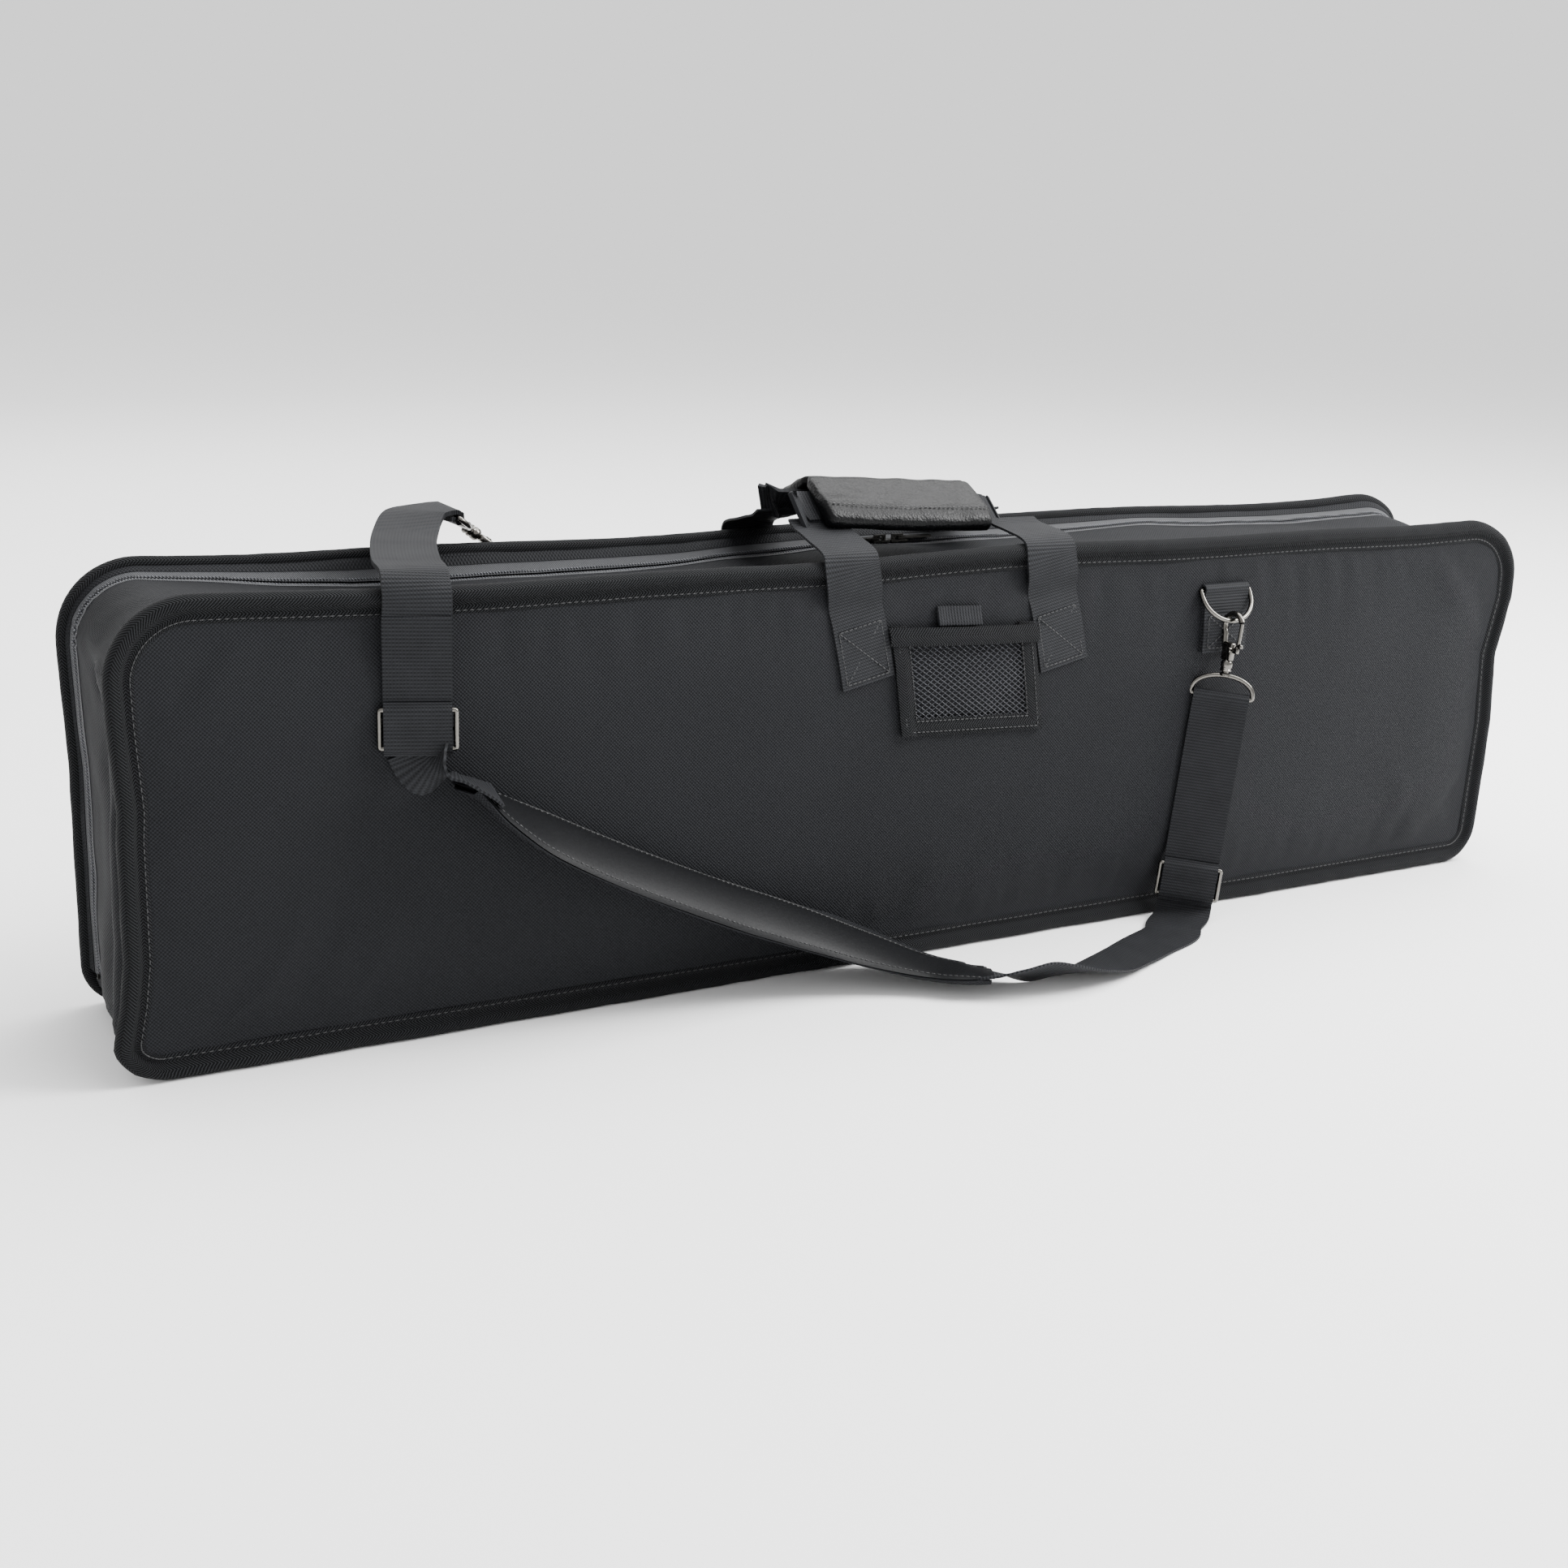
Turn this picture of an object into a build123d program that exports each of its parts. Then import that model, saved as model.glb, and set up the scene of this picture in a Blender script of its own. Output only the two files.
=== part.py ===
"""Long padded carry case: zipped back panel, two carry handles with a wrap grip, clip-on shoulder strap.

Millimetres. X runs along the case, -Y is the front panel, +Z is up.
The origin is the middle of the base, on the surface that the case stands on.
"""
import math
import os
from build123d import *

# overall case
length = 1020.0             # over the binding, end to end
height = 267.0              # over the binding
binding_spacing = 122.0     # between the middles of the two bindings
corner_top = 46.0
corner_base = 26.0

# layers
fabric = 1.0
foam = 7.0
lining = 0.8
bead = 9.5                  # thickness of the bound seam
flange = 16.0               # reach of the binding tape over the panel, from the outline
panel_inset = 10.2
panel_face = binding_spacing / 2 + 1.5      # outer face of a panel, from the mid plane
panel_back = panel_face - fabric - foam - lining

# gusset between the panels
gusset_half = 502.0
gusset_top = 253.0
gusset_corner_top = 36.0
gusset_corner_base = 22.0
gusset_end = 41.6           # where the gusset fabric meets the zip tape
base_end = 53.4             # the base reaches back to the hinge seam

# zip, round the top and both ends
zip_y = 47.0
zip_low = 22.0
coil_gap = 1.2
coil_width = 2.0
coil_rise = 1.6
tape_width = 4.0
slider_meet_x = 30.0
slider_length = 13.0
slider_width = 7.2
plate = 1.4
slider_clear = 0.8
pull_length = 26.0
pull_width = 6.0

# webbing and handles
webbing = 38.0
webbing_thick = 1.5
patch_low = 189.0
patch_top = 232.0
patch_lean = 12.0           # degrees that the handle legs lean
leg_left_x = -57.0
leg_right_x = 93.0
grip_left = -66.0
grip_right = 60.0
grip_tilt = 3.5
ridge_z = 305.0
hinge_gap = 0.3

# rings, hooks and glides
wire = 3.4
ring_inner = webbing + 0.6
ring_depth = 24.0
roll_radius = 4.2
roll_bore = 2.8
tab_low = 188.0
tab_front_x = 232.0
ring_front_z = 231.0
ring_front_lean = 33.0
tab_rear_x = -216.0
ring_rear_z = 238.0
ring_rear_lean = 28.0
ring_standoff = 4.2
hook_wire_z = 35.1          # from the swivel to the ring wire it holds
hook_eye_z = 31.5
eye_radius = 6.5
eye_band = 4.0
hook_thick = 4.0
barrel_radius = 4.0
barrel_height = 8.0
stud_radius = 2.0
stud_fit = 0.05
rivet_z = 15.5

# shoulder strap
loop_depth = 15.0
riser_turn = 37.0           # degrees that the front riser is turned from the panel
riser_lean = 6.0            # degrees that the front hook and riser hang aslant
riser_low = 13.0
layer_gap = 2.4
glide_height = 22.0
glide_front_up = 13.5       # from the front riser's lower end
glide_rear_z = 190.0
rear_riser = (-348.0, -73.5)
rear_riser_turn = 20.0
rear_riser_top = 252.0
pad_width = 44.0

strap_split = 0.4           # gap where the strap crosses to the back panel's side
end_cut = 14.0              # from a glide's middle down to the end of the doubled webbing

# label pocket, sewn slightly askew
pocket = (22.4, 185.0)      # middle, along X and up
pocket_width = 109.0
pocket_height = 71.0
pocket_border = 12.0
pocket_lean = 9.0           # degrees, of its sides
pocket_drop = 2.5           # degrees, of its top and bottom edges


def rounded(half, low, high, top_radius, base_radius, inset=0.0):
    """Face of a rounded outline, drawn flat, with its edges moved in by inset."""
    x = half - inset
    z0 = low + inset
    z1 = high - inset
    rt = max(top_radius - inset, 1.5)
    rb = max(base_radius - inset, 1.5)
    k = math.sqrt(0.5)
    edges = [
        Line((-x + rb, z0), (x - rb, z0)),
        ThreePointArc((x - rb, z0), (x - rb + rb * k, z0 + rb - rb * k), (x, z0 + rb)),
        Line((x, z0 + rb), (x, z1 - rt)),
        ThreePointArc((x, z1 - rt), (x - rt + rt * k, z1 - rt + rt * k), (x - rt, z1)),
        Line((x - rt, z1), (-x + rt, z1)),
        ThreePointArc((-x + rt, z1), (-x + rt - rt * k, z1 - rt + rt * k), (-x, z1 - rt)),
        Line((-x, z1 - rt), (-x, z0 + rb)),
        ThreePointArc((-x, z0 + rb), (-x + rb - rb * k, z0 + rb - rb * k), (-x + rb, z0)),
    ]
    return make_face(Wire(edges))


def upright(face, y0, y1):
    """Stands a flat face up and gives it thickness from y0 to y1."""
    return Pos(0, y1, 0) * Rot(90, 0, 0) * extrude(face, y1 - y0)


def case_plate(inset, y0, y1):
    return upright(rounded(length / 2, 0, height, corner_top, corner_base, inset), y0, y1)


def gusset_plate(inset, y0, y1):
    face = rounded(gusset_half, 0, gusset_top, gusset_corner_top, gusset_corner_base, inset)
    return upright(face, y0, y1)


def gusset_ring(inset, thick, y0, y1):
    return gusset_plate(inset, y0, y1) - gusset_plate(inset + thick, y0 - 1, y1 + 1)


def block(x0, x1, y0, y1, z0, z1):
    return Pos((x0 + x1) / 2, (y0 + y1) / 2, (z0 + z1) / 2) * Box(x1 - x0, y1 - y0, z1 - z0)


def above(z):
    return block(-length, length, -length, length, z, length)


def below(z):
    return block(-length, length, -length, length, -length, z)


def mirror_y(shape):
    return mirror(shape, Plane.XZ)


def section(centre, along, across, width, thick):
    """Rectangle across a strap at one place on its route."""
    along = along.normalized()
    across = (across - along * across.dot(along)).normalized()
    normal = across.cross(along)
    half_w = across * (width / 2)
    half_t = normal * (thick / 2)
    corners = [centre - half_w - half_t, centre + half_w - half_t,
               centre + half_w + half_t, centre - half_w + half_t]
    return make_face(Polyline(*corners, close=True))


def ribbon(stations, width, thick, lift=0.0):
    """Strap along stations of (centre, across). lift moves it off the route along its face."""
    centres = [Vector(*c) for c, _ in stations]
    faces = []
    for i, (_, across) in enumerate(stations):
        before = centres[max(i - 1, 0)]
        after = centres[min(i + 1, len(centres) - 1)]
        along = (after - before).normalized()
        across = Vector(*across)
        across = (across - along * across.dot(along)).normalized()
        centre = centres[i] + across.cross(along) * lift
        faces.append(section(centre, along, across, width, thick))
    return loft(faces, ruled=True)


# panels, gusset and bindings

def panel_layers(side):
    """Outer fabric, foam and lining of the front (side -1) or back (side 1) panel."""
    face = -panel_face
    layers = []
    for thick in (fabric, foam, lining):
        layer = case_plate(panel_inset, face, face + thick)
        layers.append(layer if side < 0 else mirror_y(layer))
        face += thick
    return layers


def binding(side):
    """Bound seam round a panel: a thick bead and the tape's flange on the panel."""
    y = -binding_spacing / 2
    path = rounded(length / 2, 0, height, corner_top, corner_base, bead / 2).face().outer_wire()
    path = Pos(0, y, 0) * Rot(90, 0, 0) * path
    start = Plane(path @ 0, z_dir=path % 0)
    bound = sweep(start * Circle(bead / 2), path=path)
    tape = case_plate(bead / 2, -panel_face - fabric, -panel_face)
    tape -= case_plate(flange, -panel_face - 2 * fabric, -panel_face + fabric)
    bound = bound + tape
    return bound if side < 0 else mirror_y(bound)


def gusset_fabric():
    skin = gusset_ring(0, fabric, -panel_back, gusset_end)
    base = gusset_ring(0, fabric, gusset_end, base_end) & below(zip_low)
    return skin + base


def gusset_lining():
    inset = fabric + foam
    skin = gusset_ring(inset, lining, -panel_back, gusset_end)
    base = gusset_ring(inset, lining, gusset_end, base_end) & below(zip_low)
    return skin + base


def gusset_foam():
    """The four foam pads inside the gusset: straight top and base, and two ends that wrap the corners."""
    pad = gusset_ring(fabric, foam, -panel_back, gusset_end)
    pad += gusset_ring(fabric, foam, gusset_end, base_end) & below(zip_low)
    top_half = gusset_half - gusset_corner_top
    base_half = gusset_half - gusset_corner_base
    middle = gusset_top / 2
    top_zone = block(-top_half, top_half, -length, length, middle, length)
    base_zone = block(-base_half, base_half, -length, length, -length, middle)
    ends = (pad - top_zone) - base_zone
    left = ends & block(-length, 0, -length, length, -length, length)
    right = ends & block(0, length, -length, length, -length, length)
    return pad & top_zone, pad & base_zone, left, right


# zip

def zip_strip(inset, thick, y0, y1):
    return gusset_ring(inset, thick, y0, y1) & above(zip_low + hinge_gap)


def zip_half(side):
    """Tape and coil on one side of the zip's middle line: -1 the case, 1 the back panel."""
    coil_in = coil_gap / 2
    tape_in = coil_in + 0.8
    spans = [
        (tape_in, tape_in + tape_width, 0.2, 0.8),
        (coil_in, coil_in + coil_width, 0.2 - coil_rise, coil_rise),
    ]
    pieces = []
    for near, far, inset, thick in spans:
        y0, y1 = sorted((zip_y + side * near, zip_y + side * far))
        pieces.append(zip_strip(inset, thick, y0, y1))
    return pieces


def zip_facing():
    """Strip of fabric between the zip tape and the back panel."""
    tape_edge = zip_y + coil_gap / 2 + 0.8 + tape_width
    return zip_strip(0, fabric, tape_edge, panel_back)


def zip_stops():
    """Metal stops where the coil ends, near the base at each end of the case."""
    x = gusset_half + coil_rise
    low = zip_low + 1
    near = zip_y - coil_gap / 2 - coil_width
    right = block(x, x + 1.2, near, near + coil_width, low, low + 3)
    left = block(-x - 1.2, -x, near, near + coil_width, low, low + 3)
    return right + left


def slider_x(side):
    return slider_meet_x + side * (slider_length / 2 + 0.5)


def zip_slider(side):
    x = slider_x(side)
    x0, x1 = x - slider_length / 2, x + slider_length / 2
    y0, y1 = zip_y - slider_width / 2, zip_y + slider_width / 2
    coil_top = gusset_top - 0.2 + coil_rise
    top_low = coil_top + slider_clear
    tape_low = gusset_top - 1.0
    base_top = tape_low - slider_clear
    top = block(x0, x1, y0, y1, top_low, top_low + plate)
    base = block(x0, x1, y0, y1, base_top - plate, base_top)
    post = block(x - 1.5, x + 1.5, zip_y - 0.35, zip_y + 0.35, base_top, top_low)
    bridge_low = top_low + plate
    bridge = block(x - 4, x + 4, zip_y - 1.6, zip_y + 1.6, bridge_low, bridge_low + 3.4)
    slot = block(x - 2.6, x + 2.6, zip_y - 3, zip_y + 3, bridge_low, bridge_low + 2.2)
    return top + base + post + (bridge - slot)


def pull_pivot_z():
    return gusset_top - 0.2 + coil_rise + slider_clear + plate + 1.1


def zip_pull(side):
    """Flat tab with a window for the slider's bridge, lying outwards along the zip."""
    x = slider_x(side)
    z = pull_pivot_z()
    pin = Pos(x, zip_y, z) * Rot(90, 0, 0) * Cylinder(0.8, pull_width)
    x0, x1 = sorted((x, x + side * pull_length))
    tab = block(x0, x1, zip_y - pull_width / 2, zip_y + pull_width / 2, z - 0.6, z + 0.6)
    w0, w1 = sorted((x + side * 0.4, x + side * 5.4))
    window = block(w0, w1, zip_y - 2.0, zip_y + 2.0, z - 2, z + 2)
    return pin + (tab - window)


# handles

def leg_stations(x, side, drop):
    """Route of one handle leg from its patch, over the binding and up under the grip."""
    lean = -math.tan(math.radians(patch_lean))
    middle = (patch_low + patch_top) / 2
    route = [(63.4, patch_top), (67.8, 248.0), (67.8, 262.0), (65.6, 268.6), (59.0, 271.8),
             (46.0, 275.5 - drop * 0.2), (36.0, 278.6 - drop * 0.5), (27.0, 280.2 - drop * 0.7), (20.0, 285.0 - drop)]
    return [((x + lean * min(z - middle, 52.0), side * y, z), (1, 0, 0)) for y, z in route]


def handle_patches(side):
    """The two sewn-down ends of a handle, leaning with its legs."""
    patches = []
    for x in (leg_left_x, leg_right_x):
        flat = Pos(x, -panel_face - webbing_thick / 2, (patch_low + patch_top) / 2)
        leaning = flat * Rot(0, -patch_lean, 0) * Box(webbing, webbing_thick, 2 * (patch_top - patch_low))
        patch = (leaning & below(patch_top)) & above(patch_low)
        patches.append(patch if side < 0 else mirror_y(patch))
    return patches[0] + patches[1]


def handle_webbing(side):
    """Webbing of one handle outside its patches: two legs and the run inside the grip."""
    left = ribbon(leg_stations(leg_left_x, side, 0.0), webbing, webbing_thick)
    right = ribbon(leg_stations(leg_right_x, side, 6.5), webbing, webbing_thick)
    slope = (0, side * -0.79, 0.61)
    ends = [((grip_left - 8, side * 13.0, 292.4), slope), ((grip_right + 12, side * 13.0, 283.5), slope)]
    run = ribbon(ends, 22.0, webbing_thick)
    return (left + right + run) & above(patch_top + hinge_gap)


def grip_half(side):
    """One side of the wrap grip: a padded sheet from the ridge down to a rolled lower edge."""
    profile = [(0.4, ridge_z), (0.4, ridge_z - 6), (20.0, ridge_z - 19), (26.5, ridge_z - 25.5),
               (33.0, ridge_z - 26), (36.0, ridge_z - 22), (33.5, ridge_z - 17), (16.0, ridge_z - 6)]
    face = make_face(Polyline(*[(side * y, z) for y, z in profile], close=True))
    sheet = extrude(Plane.YZ * face, grip_right - grip_left)
    middle = (grip_left + grip_right) / 2
    tilt = Pos(middle, 0, ridge_z) * Rot(0, grip_tilt, 0) * Pos(-middle, 0, -ridge_z)
    return tilt * Pos(grip_left, 0, 0) * sheet


# label pocket

def pocket_plate(border, y0, y1):
    """Plate with the pocket's askew outline, its edges moved in by border."""
    half_w = pocket_width / 2 - border
    half_h = pocket_height / 2 - border
    lean = math.tan(math.radians(pocket_lean))
    drop = math.tan(math.radians(pocket_drop))
    corners = []
    for u, v in ((-half_w, -half_h), (half_w, -half_h), (half_w, half_h), (-half_w, half_h)):
        corners.append((pocket[0] + u - v * lean, pocket[1] + v - u * drop))
    return upright(make_face(Polyline(*corners, close=True)), y0, y1)


def pocket_frame():
    y = -panel_face
    return pocket_plate(0, y - 2.2, y) - pocket_plate(pocket_border, y - 3, y + 1)


def pocket_net():
    return pocket_plate(pocket_border, -panel_face - 2.6, -panel_face - 1.8)


def pocket_tab():
    """Stub of webbing that pulls the pocket open."""
    low = pocket[1] + pocket_height / 2 + 1.5
    left = pocket[0] - 25
    return block(left, left + 33, -panel_face - 2 * webbing_thick, -panel_face, low, low + 10)


# rings and hooks

def ring_face(inner, depth):
    """D-shaped ring, drawn flat with its bar on the X axis and its bow towards -Y."""
    k = wire / 2

    def boundary(a, top, shoulder, bottom):
        edges = [Line((-a, top), (a, top)), Line((a, top), (a, shoulder)),
                 ThreePointArc((a, shoulder), (0, bottom), (-a, shoulder)), Line((-a, shoulder), (-a, top))]
        return make_face(Wire(edges))

    shoulder = -depth * 0.25
    return boundary(inner / 2 + wire, k, shoulder, -depth - k) - boundary(inner / 2, -k, shoulder, -depth + k)


def d_ring(inner, depth):
    """D-ring hanging from a bar along X through the origin."""
    return upright(ring_face(inner, depth), -wire / 2, wire / 2)


def ring_tab(x, bar_z, low):
    """Webbing tab sewn on the front panel, rolled over the bar of its ring."""
    y = -panel_face - ring_standoff
    flat = block(x - webbing / 2, x + webbing / 2, -panel_face - 2 * webbing_thick, -panel_face, low, bar_z)
    roll = Pos(x, y, bar_z) * Rot(0, 90, 0) * Cylinder(roll_radius, webbing)
    bore = Pos(x, y, bar_z) * Rot(0, 90, 0) * Cylinder(roll_bore, webbing + 2)
    return (flat + roll) - bore


def hook_body():
    """Snap hook along +Z from its swivel at the origin, its eye in the YZ plane."""
    barrel = Pos(0, 0, barrel_height / 2) * Cylinder(barrel_radius, barrel_height)
    body = block(-hook_thick / 2, hook_thick / 2, -5, 5, barrel_height, hook_eye_z - eye_radius - 1)
    eye = Pos(0, 0, hook_eye_z) * Rot(0, 90, 0) * Cylinder(eye_radius + eye_band, hook_thick)
    hole = Pos(0, 0, hook_eye_z) * Rot(0, 90, 0) * Cylinder(eye_radius, hook_thick + 2)
    mouth = block(-3, 3, -eye_radius - eye_band - 2, -3.4, rivet_z - 4.5, hook_eye_z + 4)
    bore = Pos(0, 0, (barrel_height - 1) / 2 - 0.5) * Cylinder(stud_radius + stud_fit, barrel_height)
    return ((barrel + body + eye) - hole) - mouth - bore


def hook_gate():
    """Sprung lever that closes the eye's mouth, turning on a rivet in the body."""
    arm = block(-1.6, 1.6, -9.2, -6.9, rivet_z - 1.2, hook_eye_z + 3.6)
    foot = block(-1.6, 1.6, -9.2, -3.8, rivet_z - 2.2, rivet_z + 2.2)
    thumb = block(-1.6, 1.6, -12.5, -9.2, rivet_z + 2, rivet_z + 5)
    return arm + foot + thumb


def strap_loop():
    """D-shaped loop below a swivel at the origin: its stud turns in the hook's barrel."""
    ring = Pos(0, 0, -loop_depth - 2.6) * Rot(180, 0, 0) * d_ring(ring_inner, loop_depth)
    stud = Pos(0, 0, 1.2) * Cylinder(stud_radius, 9.0)
    return ring + stud


def strap_roll(z, low):
    """End of a doubled strap: rolled over a bar at height z, both layers running down to low."""
    roll = Pos(0, 0, z) * Rot(0, 90, 0) * Cylinder(roll_radius, webbing)
    bore = Pos(0, 0, z) * Rot(0, 90, 0) * Cylinder(roll_bore, webbing + 2)
    layer = layer_gap / 2 + webbing_thick / 2
    strap = roll - bore
    for y in (-layer, layer):
        strap += block(-webbing / 2, webbing / 2, y - webbing_thick / 2, y + webbing_thick / 2, low, z - roll_bore)
    return strap


def glide():
    """Three-bar glide at the origin: outer bars before the front layer, middle bar between the layers."""
    front = -(layer_gap / 2 + webbing_thick + 0.2)
    bar = 1.8
    half = webbing / 2 + 0.4
    bars = []
    for z in (-glide_height / 2, glide_height / 2):
        bars.append(block(-half, half, front - bar, front, z - wire / 2, z + wire / 2))
    middle = block(-half, half, -0.9, 0.9, -wire / 2, wire / 2)
    reach = glide_height / 2 + wire / 2
    right = block(half, half + 3.0, front - bar, 0.9, -reach, reach)
    left = block(-half - 3.0, -half, front - bar, 0.9, -reach, reach)
    return bars[0] + bars[1] + middle + right + left


# places of the strap hardware

def front_swivel():
    lean = math.radians(ring_front_lean)
    y = -panel_face - ring_standoff - ring_depth * math.sin(lean)
    z = ring_front_z - ring_depth * math.cos(lean)
    return Pos(tab_front_x, y, z) * Rot(0, riser_lean, 0) * Pos(0, 0, -hook_wire_z)


def front_riser():
    return front_swivel() * Rot(0, 0, -riser_turn)


def riser_drop():
    """Lower end of the front riser, measured along it from the swivel."""
    return (riser_low - front_swivel().position.Z) / math.cos(math.radians(riser_lean))


rear_pull = (0.8, 0.0, -0.6)        # from the rear swivel towards the ring
ring_pull_x = -17.0                 # where the rear hook holds its ring, from the bar's middle
ring_pull_up = 15.5


def rear_swivel():
    """The rear hook lies aslant behind the back panel, drawn up by the strap."""
    lean = math.radians(ring_rear_lean)
    x = tab_rear_x + ring_pull_x - rear_pull[0] * hook_wire_z
    y = panel_face + ring_standoff + ring_pull_up * math.sin(lean) + 1.0
    z = ring_rear_z + ring_pull_up * math.cos(lean) - rear_pull[2] * hook_wire_z
    return Plane(origin=(x, y, z), x_dir=(0.6, 0, 0.8), z_dir=rear_pull).location


def rear_loop():
    return rear_swivel() * Rot(0, 0, 90)


# shoulder strap

def strap_floor_run():
    """Single webbing from below the front glide, out over the floor to the pad."""
    x, y, _ = (front_riser() * Pos(0, 0, riser_drop())).position
    c, s = math.cos(math.radians(riser_turn)), math.sin(math.radians(riser_turn))
    stations = [
        ((x, y, riser_low - 3.0), (c, -s, 0)),
        ((x - 5, y - 5, 4.5), (0.70, -0.71, 0)),
        ((x - 21, y - 15, 1.2), (0.52, -0.85, 0)),
        ((150, -118, 1.0), (0.46, -0.89, 0)),
        ((95, -142, 1.0), (0.38, -0.92, 0)),
        ((50, -154, 4.5), (0.15, -0.96, 0.20)),
        ((20, -150, 8.5), (-0.20, -0.93, 0.30)),
        ((2, -139, 10.0), (-0.42, -0.87, 0.20)),
    ]
    return ribbon(stations, webbing, webbing_thick) & below(riser_low - 3.0)


pad_route = [
    ((-1, -136.8, 10.6), (-0.45, -0.87, 0.18)),
    ((-28, -114, 13.0), (-0.50, -0.86, 0.05)),
    ((-62, -98.5, 25.0), (-0.30, -0.93, -0.20)),
    ((-105, -90, 43.0), (-0.10, -0.91, -0.40)),
    ((-150, -88, 62.0), (0.0, -0.88, -0.47)),
    ((-190, -88, 80.5), (0.0, -0.88, -0.47)),
    ((-235, -88, 102.5), (0.02, -0.88, -0.47)),
    ((-275, -88.0, 124.0), (0.08, -0.88, -0.45)),
    ((-305, -87.8, 143.0), (0.25, -0.90, -0.35)),
    ((-325.5, -85.5, 158.2), (0.48, -0.85, -0.20)),
]


def shoulder_pad():
    """Three layers of the shoulder pad: smooth face, foam core and woven backing."""
    face = ribbon(pad_route, pad_width, 1.0, 2.5)
    core = ribbon(pad_route, pad_width - 4.0, 4.0)
    backing = ribbon(pad_route, pad_width, 1.0, -2.5)
    return face, core, backing


def strap_link():
    """Short webbing from the rear glide to the pad."""
    x, y = rear_riser
    stations = [
        ((x, y, glide_rear_z - end_cut), (0.94, -0.34, 0)),
        ((x + 3, y - 2.5, 170.5), (0.86, -0.50, 0)),
        ((x + 10, y - 7.6, 165.0), (0.70, -0.70, -0.08)),
        ((x + 16.6, y - 10.6, 162.2), (0.56, -0.82, -0.13)),
    ]
    return ribbon(stations, webbing, webbing_thick) & below(glide_rear_z - end_cut - hinge_gap)


def rear_bar():
    """Middle of the rear loop's bar, inside the strap's end roll."""
    return (rear_loop() * Pos(0, 0, -loop_depth - 2.6)).position


def top_run():
    """Doubled webbing from the rear riser over the binding and across the top to the rear loop."""
    x, y = rear_riser
    bar = rear_bar()
    turn = math.radians(rear_riser_turn)
    stations = [
        ((x, y, rear_riser_top - 2), (math.cos(turn), -math.sin(turn), 0)),
        ((x + 1, y + 0.5, 262.0), (0.97, -0.20, 0)),
        ((x + 2, y + 8, 272.5), (1, -0.05, 0)),
        ((x + 6, y + 30, 276.0), (0.99, -0.12, 0)),
        ((x + 18, y + 72, 279.0), (0.94, -0.34, 0)),
        ((x + 31, y + 105, 281.5), (0.91, -0.41, 0)),
        ((bar.X - 27, bar.Y - 15, bar.Z + 2.2), (0.74, -0.67, 0)),
        ((bar.X - 14, bar.Y - 4.0, bar.Z + 1.4), (0.42, -0.91, 0)),
        ((bar.X - 3.0, bar.Y, bar.Z + 0.4), (0, -1, 0)),
    ]
    return ribbon(stations, webbing, 3.4) & above(rear_riser_top + hinge_gap)


def strap_over_top():
    """The part of the top run that stays with the case."""
    edge = rear_bar().X - 21.0
    return top_run() & block(-length, edge - strap_split, -length, length, 0, length)


def strap_end_rear():
    """The part of the top run on the back panel's side, rolled over the rear loop's bar."""
    bar = rear_bar()
    tail = top_run() & block(bar.X - 21.0, length, -length, length, 0, length)
    turn = Pos(bar.X, bar.Y, bar.Z) * Rot(90, 0, 0)
    roll = turn * Cylinder(roll_radius, webbing)
    bore = turn * Cylinder(roll_bore, webbing + 2)
    return (roll + tail) - bore


def rear_riser_layers():
    x, y = rear_riser
    layers = strap_roll(rear_riser_top + 20, glide_rear_z - end_cut) & below(rear_riser_top)
    return Pos(x, y, 0) * Rot(0, 0, -rear_riser_turn) * layers


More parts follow.
